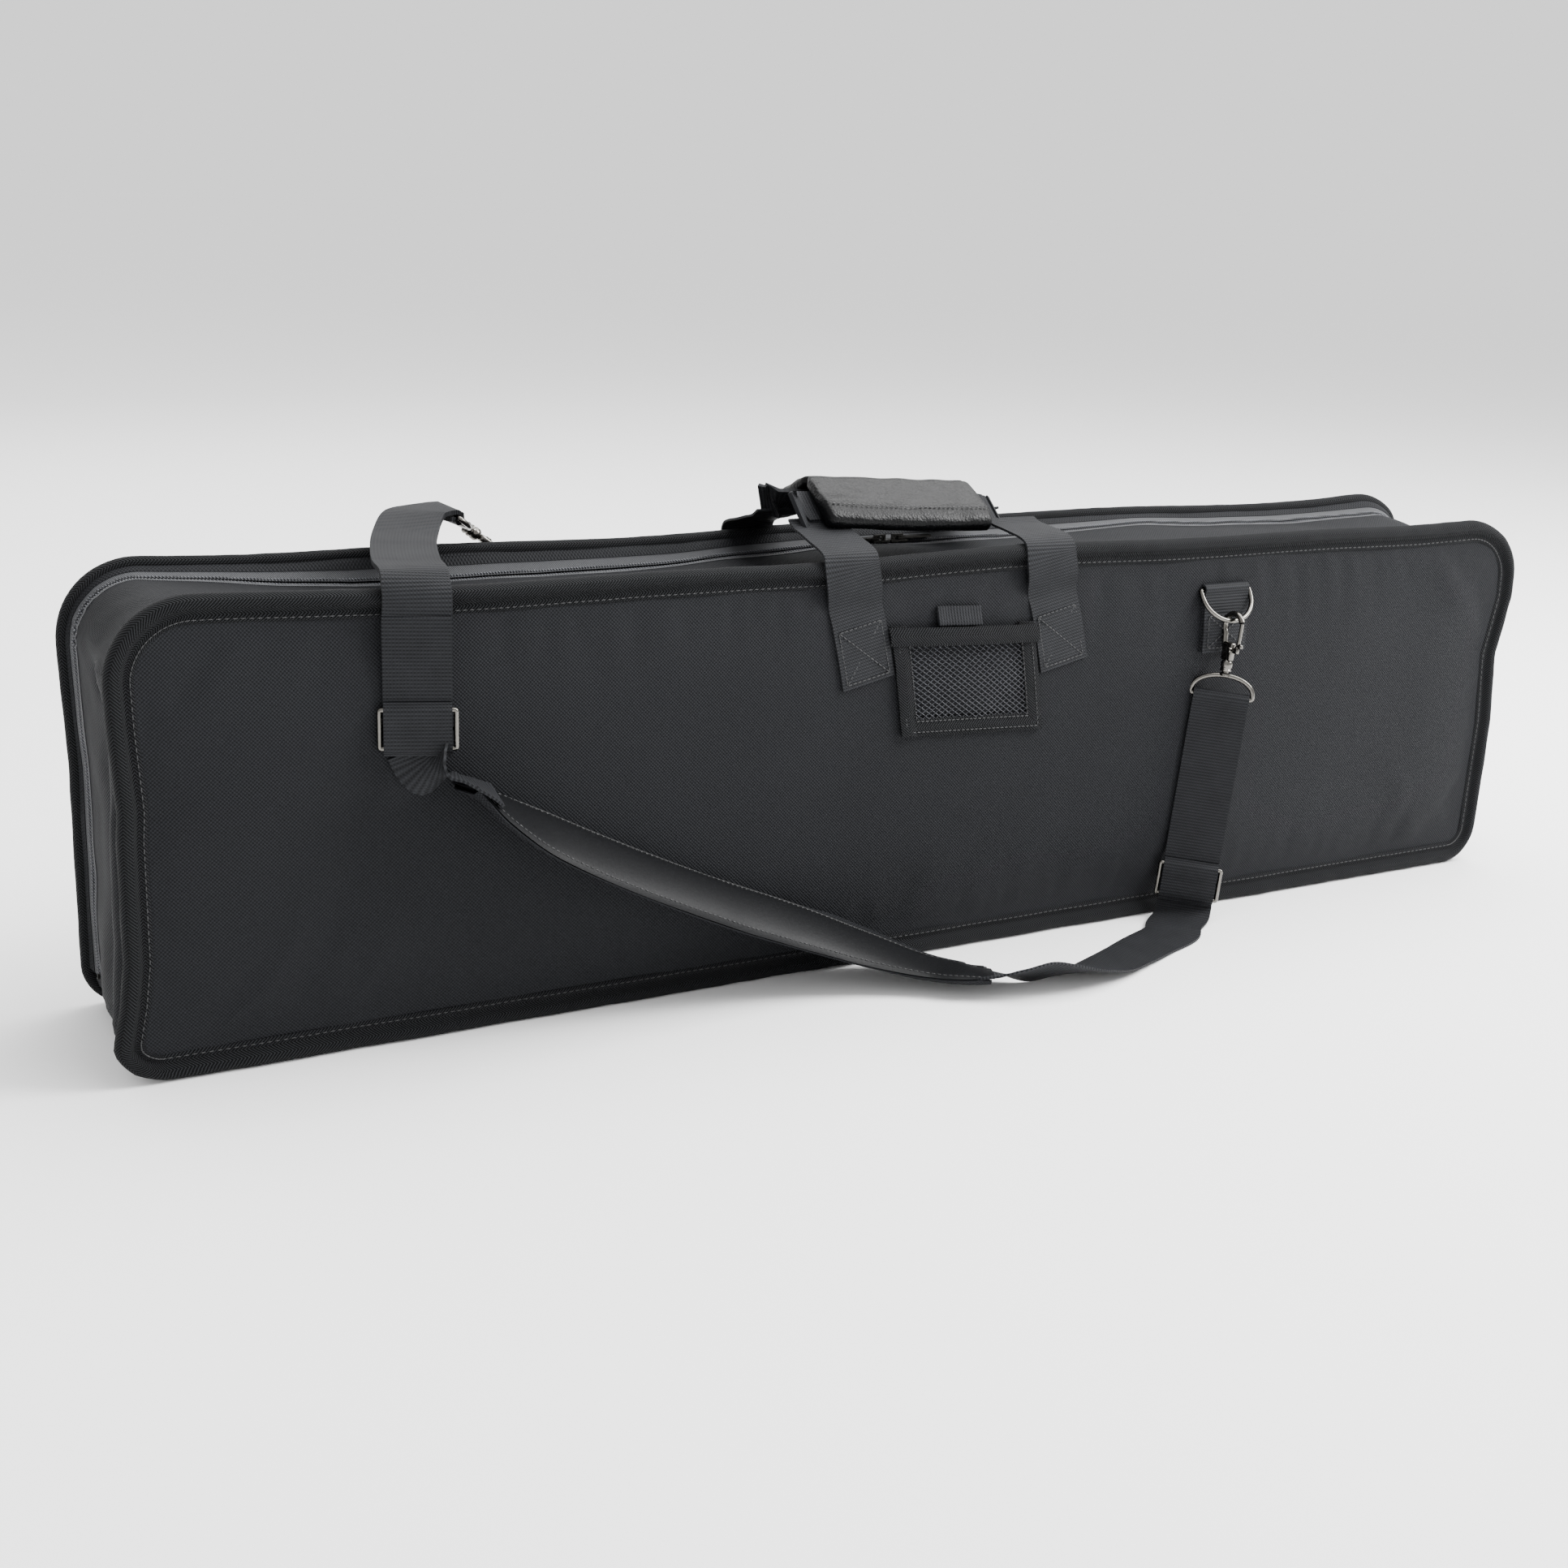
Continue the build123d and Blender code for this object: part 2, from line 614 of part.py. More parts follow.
def build():
    nodes = {}
    nodes["front_panel_fabric"], nodes["front_panel_foam"], nodes["front_panel_lining"] = panel_layers(-1)
    nodes["back_panel_fabric"], nodes["back_panel_foam"], nodes["back_panel_lining"] = panel_layers(1)
    nodes["front_binding"] = binding(-1)
    nodes["back_binding"] = binding(1)
    nodes["gusset_fabric"] = gusset_fabric()
    nodes["gusset_lining"] = gusset_lining()
    for name, pad in zip(("top", "base", "left", "right"), gusset_foam()):
        nodes["gusset_foam_" + name] = pad
    nodes["zip_tape_case"], nodes["zip_coil_case"] = zip_half(-1)
    nodes["zip_tape_back"], nodes["zip_coil_back"] = zip_half(1)
    nodes["zip_facing"] = zip_facing()
    nodes["zip_end_stops"] = zip_stops()
    for name, side in (("left", -1), ("right", 1)):
        nodes["zip_slider_" + name] = zip_slider(side)
        nodes["zip_pull_" + name] = zip_pull(side)
    for name, side in (("front", -1), ("rear", 1)):
        nodes["handle_patches_" + name] = handle_patches(side)
        nodes["handle_webbing_" + name] = handle_webbing(side)
        nodes["grip_" + name] = grip_half(side)
    nodes["pocket_frame"] = pocket_frame()
    nodes["pocket_net"] = pocket_net()
    nodes["pocket_tab"] = pocket_tab()
    nodes["ring_tab_front"] = ring_tab(tab_front_x, ring_front_z, tab_low)
    nodes["ring_tab_rear"] = mirror_y(ring_tab(tab_rear_x, ring_rear_z, tab_low + 7))
    bar_y = panel_face + ring_standoff
    hang = Pos(tab_front_x, -bar_y, ring_front_z) * Rot(-ring_front_lean, 0, 0)
    nodes["d_ring_front"] = hang * d_ring(ring_inner, ring_depth)
    raised = Pos(tab_rear_x, bar_y, ring_rear_z) * Rot(180 - ring_rear_lean, 0, 0)
    nodes["d_ring_rear"] = raised * d_ring(ring_inner, ring_depth)
    for name, place in (("front", front_swivel()), ("rear", rear_swivel())):
        nodes["snap_hook_" + name] = place * hook_body()
        nodes["hook_gate_" + name] = place * hook_gate()
    nodes["strap_loop_front"] = front_riser() * strap_loop()
    nodes["strap_loop_rear"] = rear_loop() * strap_loop()
    nodes["strap_riser_front"] = front_riser() * strap_roll(-loop_depth - 2.6, riser_drop())
    nodes["strap_glide_front"] = front_riser() * Pos(0, 0, riser_drop() + glide_front_up) * glide()
    nodes["strap_floor_run"] = strap_floor_run()
    nodes["shoulder_pad_face"], nodes["shoulder_pad_core"], nodes["shoulder_pad_backing"] = shoulder_pad()
    nodes["strap_link"] = strap_link()
    nodes["strap_riser_rear"] = rear_riser_layers()
    x, y = rear_riser
    nodes["strap_glide_rear"] = Pos(x, y, glide_rear_z) * Rot(0, 0, -rear_riser_turn) * glide()
    nodes["strap_over_top"] = strap_over_top()
    nodes["strap_end_rear"] = strap_end_rear()
    return nodes


os.makedirs("parts", exist_ok=True)
for name, shape in build().items():
    export_step(shape, "parts/" + name + ".step")
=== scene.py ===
import math
import bpy
import numpy as np
from mathutils import Matrix, Vector, noise
from mathutils.kdtree import KDTree


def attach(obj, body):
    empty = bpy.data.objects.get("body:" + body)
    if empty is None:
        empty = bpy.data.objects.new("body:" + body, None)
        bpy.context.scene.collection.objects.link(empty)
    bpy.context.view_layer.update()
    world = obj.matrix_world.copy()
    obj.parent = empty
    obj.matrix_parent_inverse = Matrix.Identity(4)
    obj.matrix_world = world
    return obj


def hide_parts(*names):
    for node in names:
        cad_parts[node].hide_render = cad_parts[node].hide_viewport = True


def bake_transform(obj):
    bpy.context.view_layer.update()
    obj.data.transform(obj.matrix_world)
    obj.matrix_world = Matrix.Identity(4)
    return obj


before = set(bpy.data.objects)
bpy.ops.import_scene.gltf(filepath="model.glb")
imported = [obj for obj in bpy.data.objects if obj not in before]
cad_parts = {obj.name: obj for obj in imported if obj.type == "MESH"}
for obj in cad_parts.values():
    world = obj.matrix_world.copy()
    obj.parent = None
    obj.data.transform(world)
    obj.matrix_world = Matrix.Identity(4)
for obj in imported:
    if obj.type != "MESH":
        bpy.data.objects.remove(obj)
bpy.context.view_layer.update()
deg = math.radians


# small helpers

def deselect():
    if bpy.context.object and bpy.context.object.mode != "OBJECT":
        bpy.ops.object.mode_set(mode="OBJECT")
    bpy.ops.object.select_all(action="DESELECT")


def pick(obj):
    deselect()
    obj.select_set(True)
    bpy.context.view_layer.objects.active = obj
    return obj


def modify(obj, kind, **settings):
    # adds one modifier and applies it
    pick(obj)
    mod = obj.modifiers.new(kind.title(), kind)
    for key, value in settings.items():
        setattr(mod, key, value)
    bpy.ops.object.modifier_apply(modifier=mod.name)
    return obj


def edit(obj, *steps):
    # runs mesh operators on the whole piece in edit mode
    pick(obj)
    bpy.ops.object.mode_set(mode="EDIT")
    bpy.ops.mesh.select_all(action="SELECT")
    for step, settings in steps:
        getattr(bpy.ops.mesh, step)(**settings)
    bpy.ops.object.mode_set(mode="OBJECT")
    return obj


def smooth(obj, angle=50):
    pick(obj)
    bpy.ops.object.shade_smooth_by_angle(angle=deg(angle))
    return obj


def ease(x):
    x = min(max(x, 0.0), 1.0)
    return x * x * (3 - 2 * x)


def bell(x, middle, width):
    return math.exp(-((x - middle) / width) ** 2)


def ripple(x, y, z, scale):
    return noise.noise(Vector((x, y, z)) / scale)


def clothGrid(name, cols, rows, place, size):
    # a grid laid over a surface: place(u, v) is each vertex, and the UV map is in metres
    deselect()
    bpy.ops.mesh.primitive_grid_add(x_subdivisions=cols, y_subdivisions=rows, size=1, calc_uvs=True)
    obj = bpy.context.object
    obj.name = obj.data.name = name
    for vert in obj.data.vertices:
        vert.co = place(vert.co.x + 0.5, vert.co.y + 0.5)
    for loop in obj.data.uv_layers.active.data:
        loop.uv = (loop.uv[0] * size[0], loop.uv[1] * size[1])
    return obj


def closeSeams(obj):
    return edit(obj, ("remove_doubles", {"threshold": 0.00002}),
                ("normals_make_consistent", {"inside": False}))


def smoothLine(points, step):
    # evenly spaced points on a smooth line through the given ones
    p = np.array(points, float)
    p = np.vstack([2 * p[0] - p[1], p, 2 * p[-1] - p[-2]])
    fine = []
    for i in range(1, len(p) - 2):
        for f in np.linspace(0, 1, 24, endpoint=False):
            a, b, c, d = p[i - 1:i + 3]
            fine.append(0.5 * (2 * b + (c - a) * f + (2 * a - 5 * b + 4 * c - d) * f * f
                               + (3 * b - a - 3 * c + d) * f ** 3))
    fine.append(p[-2])
    fine = np.array(fine)
    run = np.concatenate([[0], np.cumsum(np.linalg.norm(np.diff(fine[:, :3], axis=0), axis=1))])
    count = max(int(run[-1] / step), 4)
    at = np.linspace(0, run[-1], count + 1)
    return np.array([np.interp(at, run, fine[:, k]) for k in range(fine.shape[1])]).T, run[-1]


def strap(name, stations, width, thick, step=0.004, cup=0.0, rows=6, wave=0.0):
    # flat webbing along stations of (centre, across), thickened both ways from its middle
    line, length = smoothLine([list(c) + list(a) for c, a in stations], step)
    centres = line[:, :3]
    along = np.gradient(centres, axis=0)
    along /= np.linalg.norm(along, axis=1)[:, None]
    across = line[:, 3:6] - along * np.sum(line[:, 3:6] * along, axis=1)[:, None]
    across /= np.linalg.norm(across, axis=1)[:, None]
    face = np.cross(across, along)
    last = len(centres) - 1

    def place(u, v):
        i = int(round(u * last))
        s = v * 2 - 1
        off = cup * (1 - s * s) + wave * ripple(u * length, s * 0.01, 0.3, 0.03)
        return centres[i] + across[i] * s * width / 2 + face[i] * off

    obj = clothGrid(name, last, rows, place, (length, width))
    modify(obj, "SOLIDIFY", thickness=thick, offset=0, use_even_offset=False)
    smooth(obj, 60)
    obj["flatLength"] = length
    return obj


def wire(name, points, radius, closed=False, sides=6, flat=1.0):
    # round wire bent along points; flat is not used
    deselect()
    bpy.ops.curve.primitive_nurbs_path_add()
    obj = bpy.context.object
    obj.name = name
    curve = obj.data
    curve.splines.clear()
    spline = curve.splines.new("NURBS")
    spline.points.add(len(points) - 1)
    for point, place in zip(spline.points, points):
        point.co = (*place, 1)
    spline.order_u = 3
    spline.use_cyclic_u = closed
    spline.use_endpoint_u = not closed
    curve.resolution_u = 6
    curve.bevel_depth = radius
    curve.bevel_resolution = sides // 2
    curve.use_fill_caps = True
    pick(obj)
    bpy.ops.object.convert(target="MESH")
    obj = bpy.context.object
    if not closed:
        edit(obj, ("remove_doubles", {"threshold": 0.00002}))
    return smooth(obj)


def bar(name, size, place, soft=0.0006, segments=3):
    # rounded block
    deselect()
    bpy.ops.mesh.primitive_cube_add(size=1, location=place, scale=size)
    obj = bpy.context.object
    obj.name = name
    bpy.ops.object.transform_apply(location=True, rotation=True, scale=True)
    modify(obj, "BEVEL", width=soft, segments=segments, limit_method="NONE")
    return smooth(obj)


def turned(name, profile, place=(0, 0, 0), axis="Z", sides=32):
    # a lathe part: a circle filled and extruded ring by ring to the profile of (radius, height)
    deselect()
    bpy.ops.mesh.primitive_circle_add(vertices=sides, radius=profile[0][0], fill_type="NGON",
                                      location=(0, 0, profile[0][1]))
    obj = bpy.context.object
    obj.name = name
    bpy.ops.object.transform_apply(location=True)
    bpy.ops.object.mode_set(mode="EDIT")
    bpy.ops.mesh.select_all(action="SELECT")
    for (r0, z0), (r1, z1) in zip(profile, profile[1:]):
        bpy.ops.mesh.extrude_region_move(TRANSFORM_OT_translate={"value": (0, 0, z1 - z0)})
        bpy.ops.transform.resize(value=(r1 / r0, r1 / r0, 1), center_override=(0, 0, z1))
    bpy.ops.mesh.select_all(action="SELECT")
    bpy.ops.mesh.normals_make_consistent(inside=False)
    bpy.ops.object.mode_set(mode="OBJECT")
    if axis == "X":
        obj.data.transform(Matrix.Rotation(deg(90), 4, "Y"))
    if axis == "Y":
        obj.data.transform(Matrix.Rotation(deg(-90), 4, "X"))
    obj.data.transform(Matrix.Translation(place))
    return smooth(obj, 35)


def joinAll(name, parts):
    pick(parts[0])
    for part in parts[1:]:
        part.select_set(True)
    bpy.ops.object.join()
    obj = bpy.context.object
    obj.name = obj.data.name = name
    return obj


def repeat(name, template, places):
    # many copies of one small shape in one mesh; places are 4x4 matrices
    base = np.array([v.co for v in template.data.vertices])
    polys = [list(p.vertices) for p in template.data.polygons]
    bpy.data.objects.remove(template)
    verts, faces = [], []
    for k, m in enumerate(places):
        m = np.array(m)
        verts.append(base @ m[:3, :3].T + m[:3, 3])
        faces += [[i + k * len(base) for i in p] for p in polys]
    mesh = bpy.data.meshes.new(name)
    mesh.from_pydata(np.vstack(verts).tolist(), [], faces)
    obj = bpy.data.objects.new(name, mesh)
    bpy.context.scene.collection.objects.link(obj)
    pick(obj)
    bpy.ops.object.shade_smooth()
    return obj


def lay(centre, along, up):
    # matrix that puts local X along and local Z up at a place
    x = Vector(along).normalized()
    z = Vector(up)
    z = (z - x * z.dot(x)).normalized()
    y = z.cross(x)
    m = Matrix((x, y, z)).transposed().to_4x4()
    m.translation = Vector(centre)
    return m


# materials

def linear(hexColour):
    values = [int(hexColour[i:i + 2], 16) / 255 for i in (1, 3, 5)]
    return [v / 12.92 if v <= 0.04045 else ((v + 0.055) / 1.055) ** 2.4 for v in values] + [1]


def addNode(tree, kind, settings=None, links=None):
    made = tree.nodes.new("ShaderNode" + kind)
    for key, value in (settings or {}).items():
        setattr(made, key, value)
    for socket, source in (links or {}).items():
        if isinstance(source, bpy.types.NodeSocket):
            tree.links.new(source, made.inputs[socket])
        else:
            made.inputs[socket].default_value = source
    return made


def newMaterial(name, roughness, metallic=0.0, **sockets):
    material = bpy.data.materials.new(name)
    material.use_nodes = True
    tree = material.node_tree
    shader = tree.nodes["Principled BSDF"]
    shader.inputs["Roughness"].default_value = roughness
    shader.inputs["Metallic"].default_value = metallic
    for key, value in sockets.items():
        shader.inputs[key.replace("_", " ")].default_value = value
    return material, tree, shader


def calc(tree, operation, a, b=0.0):
    return addNode(tree, "Math", {"operation": operation}, {0: a, 1: b}).outputs[0]


def uvParts(tree):
    spot = addNode(tree, "TexCoord").outputs["UV"]
    parts = addNode(tree, "SeparateXYZ", links={0: spot})
    return parts.outputs[0], parts.outputs[1]


def objectParts(tree):
    spot = addNode(tree, "TexCoord").outputs["Object"]
    parts = addNode(tree, "SeparateXYZ", links={0: spot})
    return spot, parts.outputs


def stripes(tree, value, period):
    return calc(tree, "SINE", calc(tree, "MULTIPLY", value, 2 * math.pi / period))


def colourBetween(tree, shader, factor, dark, light):
    mix = addNode(tree, "Mix", {"data_type": "RGBA"}, {0: factor})
    mix.inputs[6].default_value = linear(dark)
    mix.inputs[7].default_value = linear(light)
    tree.links.new(mix.outputs[2], shader.inputs["Base Color"])
    return mix


def bumpFrom(tree, shader, height, distance, strength=1.0):
    bump = addNode(tree, "Bump", links={"Height": height, "Distance": distance, "Strength": strength})
    tree.links.new(bump.outputs[0], shader.inputs["Normal"])


def to01(tree, value, gain=0.5):
    return calc(tree, "ADD", calc(tree, "MULTIPLY", value, gain), 0.5)


def wovenMaterial(name, dark, light, thread, axes):
    # 600D polyester, woven two threads by two and piece-dyed: matt, with a faint checker of lit yarns
    material, tree, shader = newMaterial(name, 0.62, Sheen_Weight=0.01, Sheen_Roughness=0.4,
                                           Specular_IOR_Level=0.07)
    if axes == "uv":
        u, v = uvParts(tree)
    else:
        _, parts = objectParts(tree)
        u, v = parts[0], parts[2]
    checker = calc(tree, "MULTIPLY", stripes(tree, u, thread * 2), stripes(tree, v, thread * 2))
    spot = addNode(tree, "TexCoord").outputs["Object"]
    cloud = addNode(tree, "TexNoise", links={"Vector": spot, "Scale": 9.0, "Detail": 3.0}).outputs[0]
    fuzz = addNode(tree, "TexNoise", links={"Vector": spot, "Scale": 900.0, "Detail": 1.0}).outputs[0]
    tone = calc(tree, "ADD", calc(tree, "MULTIPLY", to01(tree, checker), 0.62),
                calc(tree, "MULTIPLY", calc(tree, "ADD", cloud, fuzz), 0.19))
    colourBetween(tree, shader, tone, dark, light)
    bumpFrom(tree, shader, calc(tree, "ADD", checker, calc(tree, "MULTIPLY", fuzz, 0.7)), 0.00022, 0.8)
    tree.links.new(calc(tree, "ADD", calc(tree, "MULTIPLY", tone, -0.12), 0.68), shader.inputs["Roughness"])
    return material


def twillMaterial(name, dark, light, pitch, band):
    # herringbone twill binding tape: diagonal ribs that turn at each band, dull polyester
    material, tree, shader = newMaterial(name, 0.72, Sheen_Weight=0.01, Specular_IOR_Level=0.07)
    u, v = uvParts(tree)
    zigzag = calc(tree, "PINGPONG", v, band)
    ribs = stripes(tree, calc(tree, "ADD", u, zigzag), pitch)
    fine = stripes(tree, v, pitch * 0.7)
    height = calc(tree, "ADD", ribs, calc(tree, "MULTIPLY", fine, 0.25))
    colourBetween(tree, shader, to01(tree, ribs), dark, light)
    bumpFrom(tree, shader, height, 0.00035, 0.9)
    return material


def webbingMaterial(name, dark, light, rib):
    # polyester webbing: cross ribs from the weft, fine warp lines, flat bound edges
    material, tree, shader = newMaterial(name, 0.6, Sheen_Weight=0.01, Specular_IOR_Level=0.09)
    u, v = uvParts(tree)
    ribs = stripes(tree, u, rib)
    warp = stripes(tree, v, rib * 0.9)
    broken = calc(tree, "MULTIPLY", ribs, to01(tree, warp, 0.35))
    spot = addNode(tree, "TexCoord").outputs["Object"]
    cloud = addNode(tree, "TexNoise", links={"Vector": spot, "Scale": 60.0, "Detail": 2.0}).outputs[0]
    tone = calc(tree, "ADD", calc(tree, "MULTIPLY", to01(tree, broken), 0.75),
                calc(tree, "MULTIPLY", cloud, 0.25))
    colourBetween(tree, shader, tone, dark, light)
    bumpFrom(tree, shader, broken, 0.0003, 0.9)
    return material


def leatherMaterial(name, dark, light, grain, roughness, depth):
    # PVC leatherette, pressed with a pebble grain and top-coated: soft gloss on the high spots
    material, tree, shader = newMaterial(name, roughness, Coat_Weight=0.03, Coat_Roughness=0.3,
                                         Specular_IOR_Level=0.12)
    spot = addNode(tree, "TexCoord").outputs["Object"]
    cells = addNode(tree, "TexVoronoi", {"feature": "F1"}, {"Vector": spot, "Scale": 1 / grain}).outputs[0]
    soft = addNode(tree, "TexNoise", links={"Vector": spot, "Scale": 0.4 / grain, "Detail": 3.0}).outputs[0]
    height = calc(tree, "ADD", calc(tree, "MULTIPLY", cells, -0.8), soft)
    colourBetween(tree, shader, soft, dark, light)
    bumpFrom(tree, shader, height, depth, 0.7)
    tree.links.new(calc(tree, "ADD", calc(tree, "MULTIPLY", cells, 0.15), roughness - 0.05),
                   shader.inputs["Roughness"])
    return material


def metalMaterial(name, colour, worn, roughness):
    # die-cast zinc with black nickel plate, tumbled: dark mirror, faint wear and finger haze
    material, tree, shader = newMaterial(name, roughness, 1.0)
    spot = addNode(tree, "TexCoord").outputs["Object"]
    haze = addNode(tree, "TexNoise", links={"Vector": spot, "Scale": 220.0, "Detail": 4.0}).outputs[0]
    colourBetween(tree, shader, haze, colour, worn)
    tree.links.new(calc(tree, "ADD", calc(tree, "MULTIPLY", haze, 0.16), roughness - 0.08),
                   shader.inputs["Roughness"])
    bumpFrom(tree, shader, haze, 0.00003, 0.5)
    return material


def plainWeaveMaterial(name, dark, light, pitch, roughness):
    # knitted or twisted polyester: zip tape, thread and net strands
    material, tree, shader = newMaterial(name, roughness, Sheen_Weight=0.1)
    spot = addNode(tree, "TexCoord").outputs["Object"]
    parts = addNode(tree, "SeparateXYZ", links={0: spot})
    twist = stripes(tree, calc(tree, "ADD", parts.outputs[0], parts.outputs[2]), pitch)
    colourBetween(tree, shader, to01(tree, twist), dark, light)
    bumpFrom(tree, shader, twist, 0.00012, 0.7)
    return material


def liningMaterial(name, dark, light):
    # brushed tricot lining: short soft nap, very matt
    material, tree, shader = newMaterial(name, 0.92, Sheen_Weight=0.35, Sheen_Roughness=0.5)
    spot = addNode(tree, "TexCoord").outputs["Object"]
    nap = addNode(tree, "TexNoise", links={"Vector": spot, "Scale": 700.0, "Detail": 2.0}).outputs[0]
    cloud = addNode(tree, "TexNoise", links={"Vector": spot, "Scale": 18.0, "Detail": 3.0}).outputs[0]
    colourBetween(tree, shader, calc(tree, "MULTIPLY", calc(tree, "ADD", nap, cloud), 0.5), dark, light)
    bumpFrom(tree, shader, nap, 0.0004, 0.6)
    return material


shell = wovenMaterial("Polyester 600D, woven", "#020202", "#26272a", 0.0011, "xz")
shellWrap = wovenMaterial("Polyester 600D, woven, gusset", "#020202", "#232427", 0.0011, "uv")
twill = twillMaterial("Polyester herringbone tape, woven", "#010101", "#242527", 0.0019, 0.0052)
webbingCloth = webbingMaterial("Polyester webbing, woven", "#020202", "#2c2d30", 0.0021)
gripLeather = leatherMaterial("PVC leatherette, pebble grained", "#020203", "#08090a", 0.0017, 0.34, 0.0004)
padLeather = leatherMaterial("PVC leatherette, fine grained", "#060607", "#101113", 0.0008, 0.48, 0.00012)
blackNickel = metalMaterial("Zinc, black nickel plated", "#55534f", "#6f6d69", 0.22)
tapeKnit = plainWeaveMaterial("Polyester zip tape, knitted", "#101114", "#2a2c31", 0.0012, 0.7)
coilNylon = plainWeaveMaterial("Polyester zip coil, extruded", "#15161a", "#3f4148", 0.0020, 0.32)
netNylon = plainWeaveMaterial("Polyester net, warp knitted", "#15161a", "#3d3f46", 0.0011, 0.5)
threadTwist = plainWeaveMaterial("Polyester thread, twisted", "#050506", "#17181b", 0.0009, 0.5)
liningNap = liningMaterial("Polyester tricot, brushed", "#1d1e22", "#3a3c42")


def finishPiece(obj, material, body, replaced=()):
    obj.data.materials.clear()
    obj.data.materials.append(material)
    if isinstance(body, str):
        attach(obj, body)
    else:
        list(body)
        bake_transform(obj)
    if replaced:
        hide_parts(*replaced)
    return obj


# the sewn outline

shape = {
    "half": 0.510, "high": 0.267, "cornerTop": 0.046, "cornerBase": 0.026,
    "seamY": 0.061, "faceY": 0.0625, "beadRadius": 0.00475,
    "gussetHalf": 0.502, "gussetHigh": 0.253, "gussetTop": 0.036, "gussetBase": 0.022,
    "leftFlare": [(0.0, -0.002), (0.006, -0.007), (0.02, -0.009), (0.045, -0.004), (0.07, -0.001),
                  (0.14, -0.001), (0.2, 0.003), (0.226, 0.004), (0.267, 0.003)],
    "rightFlare": [(0.0, 0.0), (0.028, -0.002), (0.111, -0.004), (0.164, 0.0), (0.207, 0.009),
                   (0.23, 0.008), (0.251, 0.006), (0.267, 0.0)],
    "leftBackFlare": [(0.0, 0.0), (0.028, 0.001), (0.15, 0.001), (0.22, 0.004), (0.267, 0.003)],
    "rightBackFlare": [(0.0, 0.0), (0.1, 0.0), (0.2, 0.008), (0.25, 0.011), (0.267, 0.009)],
    "topSag": [(-0.502, 0.003), (-0.47, 0.004), (-0.42, 0.001), (-0.345, -0.005), (-0.27, -0.0065),
               (-0.218, -0.005), (-0.1, -0.002), (0.0, -0.001), (0.06, -0.001), (0.16, 0.001), (0.245, 0.003),
               (0.4, 0.001), (0.5, -0.001)],
}
spanLengths = [0.484, 0.0408, 0.195, 0.0723, 0.928, 0.0723, 0.195, 0.0408, 0.484]
stops = np.concatenate([[0], np.cumsum(spanLengths)]) / sum(spanLengths)
loopLength = sum(spanLengths)


def outline(t, half, low, high, top, base):
    # walks round a rounded rectangle from the middle of its base, to the right: x, z and outward normal
    t = t % 1.0
    k = min(int(np.searchsorted(stops, t, "right")) - 1, 8)
    f = (t - stops[k]) / (stops[k + 1] - stops[k])
    xb, xt, z0, z1 = half - base, half - top, low + base, high - top
    if k in (0, 8):
        return (xb * f if k == 0 else xb * (f - 1)), low, 0.0, -1.0
    if k == 4:
        return xt * (1 - 2 * f), high, 0.0, 1.0
    if k in (2, 6):
        z = z0 + (z1 - z0) * (f if k == 2 else 1 - f)
        side = 1.0 if k == 2 else -1.0
        return side * half, z, side, 0.0
    start, cx, cz, r = {1: (-90, xb, z0, base), 3: (0, xt, z1, top), 5: (90, -xt, z1, top),
                        7: (180, -xb, z0, base)}[k]
    a = deg(start + 90 * f)
    return cx + r * math.cos(a), cz + r * math.sin(a), math.cos(a), math.sin(a)


def table(rows, x):
    return float(np.interp(x, [r[0] for r in rows], [r[1] for r in rows]))


def flare(x, y, z):
    # the seams aren't true rectangles: their ends lean out and their top edge waves
    back = ease((y + shape["seamY"]) / (2 * shape["seamY"]))
    side = "right" if x > 0 else "left"
    out = table(shape[side + "Flare"], z) * (1 - back) + table(shape[side + "BackFlare"], z) * back
    weight = ease((abs(x) - 0.38) / 0.12)
    high = ease((z - 0.15) / 0.1)
    wave = 0.0014 * math.sin(x * 11 + 0.6) + 0.0009 * math.sin(x * 24 + back * 2)
    end = ease((abs(x) - 0.40) / 0.09)
    return (x + math.copysign(out * weight, x), y, z + high * (wave + 0.0015 * end))


def beadLine(t, inset=0.0):
    d = shape["beadRadius"] + inset
    return outline(t, shape["half"] - d, d, shape["high"] - d, shape["cornerTop"] - d,
                   shape["cornerBase"] - d)


def endFolds(side, y, z):
    # the end gussets hang in soft upright folds, deepest at the left end
    if side > 0:
        return (0.002 * bell(y, -0.018, 0.014) * bell(z, 0.12, 0.09)
                - 0.0025 * bell(y, -0.042, 0.008) * bell(z, 0.13, 0.10))
    swing = 0.006 * math.sin(z * 22)
    folds = 0.0065 * bell(y, -0.030 + swing, 0.011) * bell(z, 0.10, 0.09)
    folds -= 0.0060 * bell(y, -0.046 + swing * 0.5, 0.007) * bell(z, 0.13, 0.11)
    folds -= 0.0050 * bell(y, -0.008 - swing, 0.012) * bell(z, 0.15, 0.07)
    folds += 0.0055 * bell(y, 0.014, 0.020) * bell(z, 0.045, 0.035)
    pleat = z - 0.198 - (y + 0.03) * 0.45
    folds -= 0.0045 * bell(pleat, 0.0, 0.007) * bell(y, -0.02, 0.03)
    folds += 0.0030 * bell(pleat, 0.014, 0.008) * bell(y, -0.02, 0.03)
    return folds


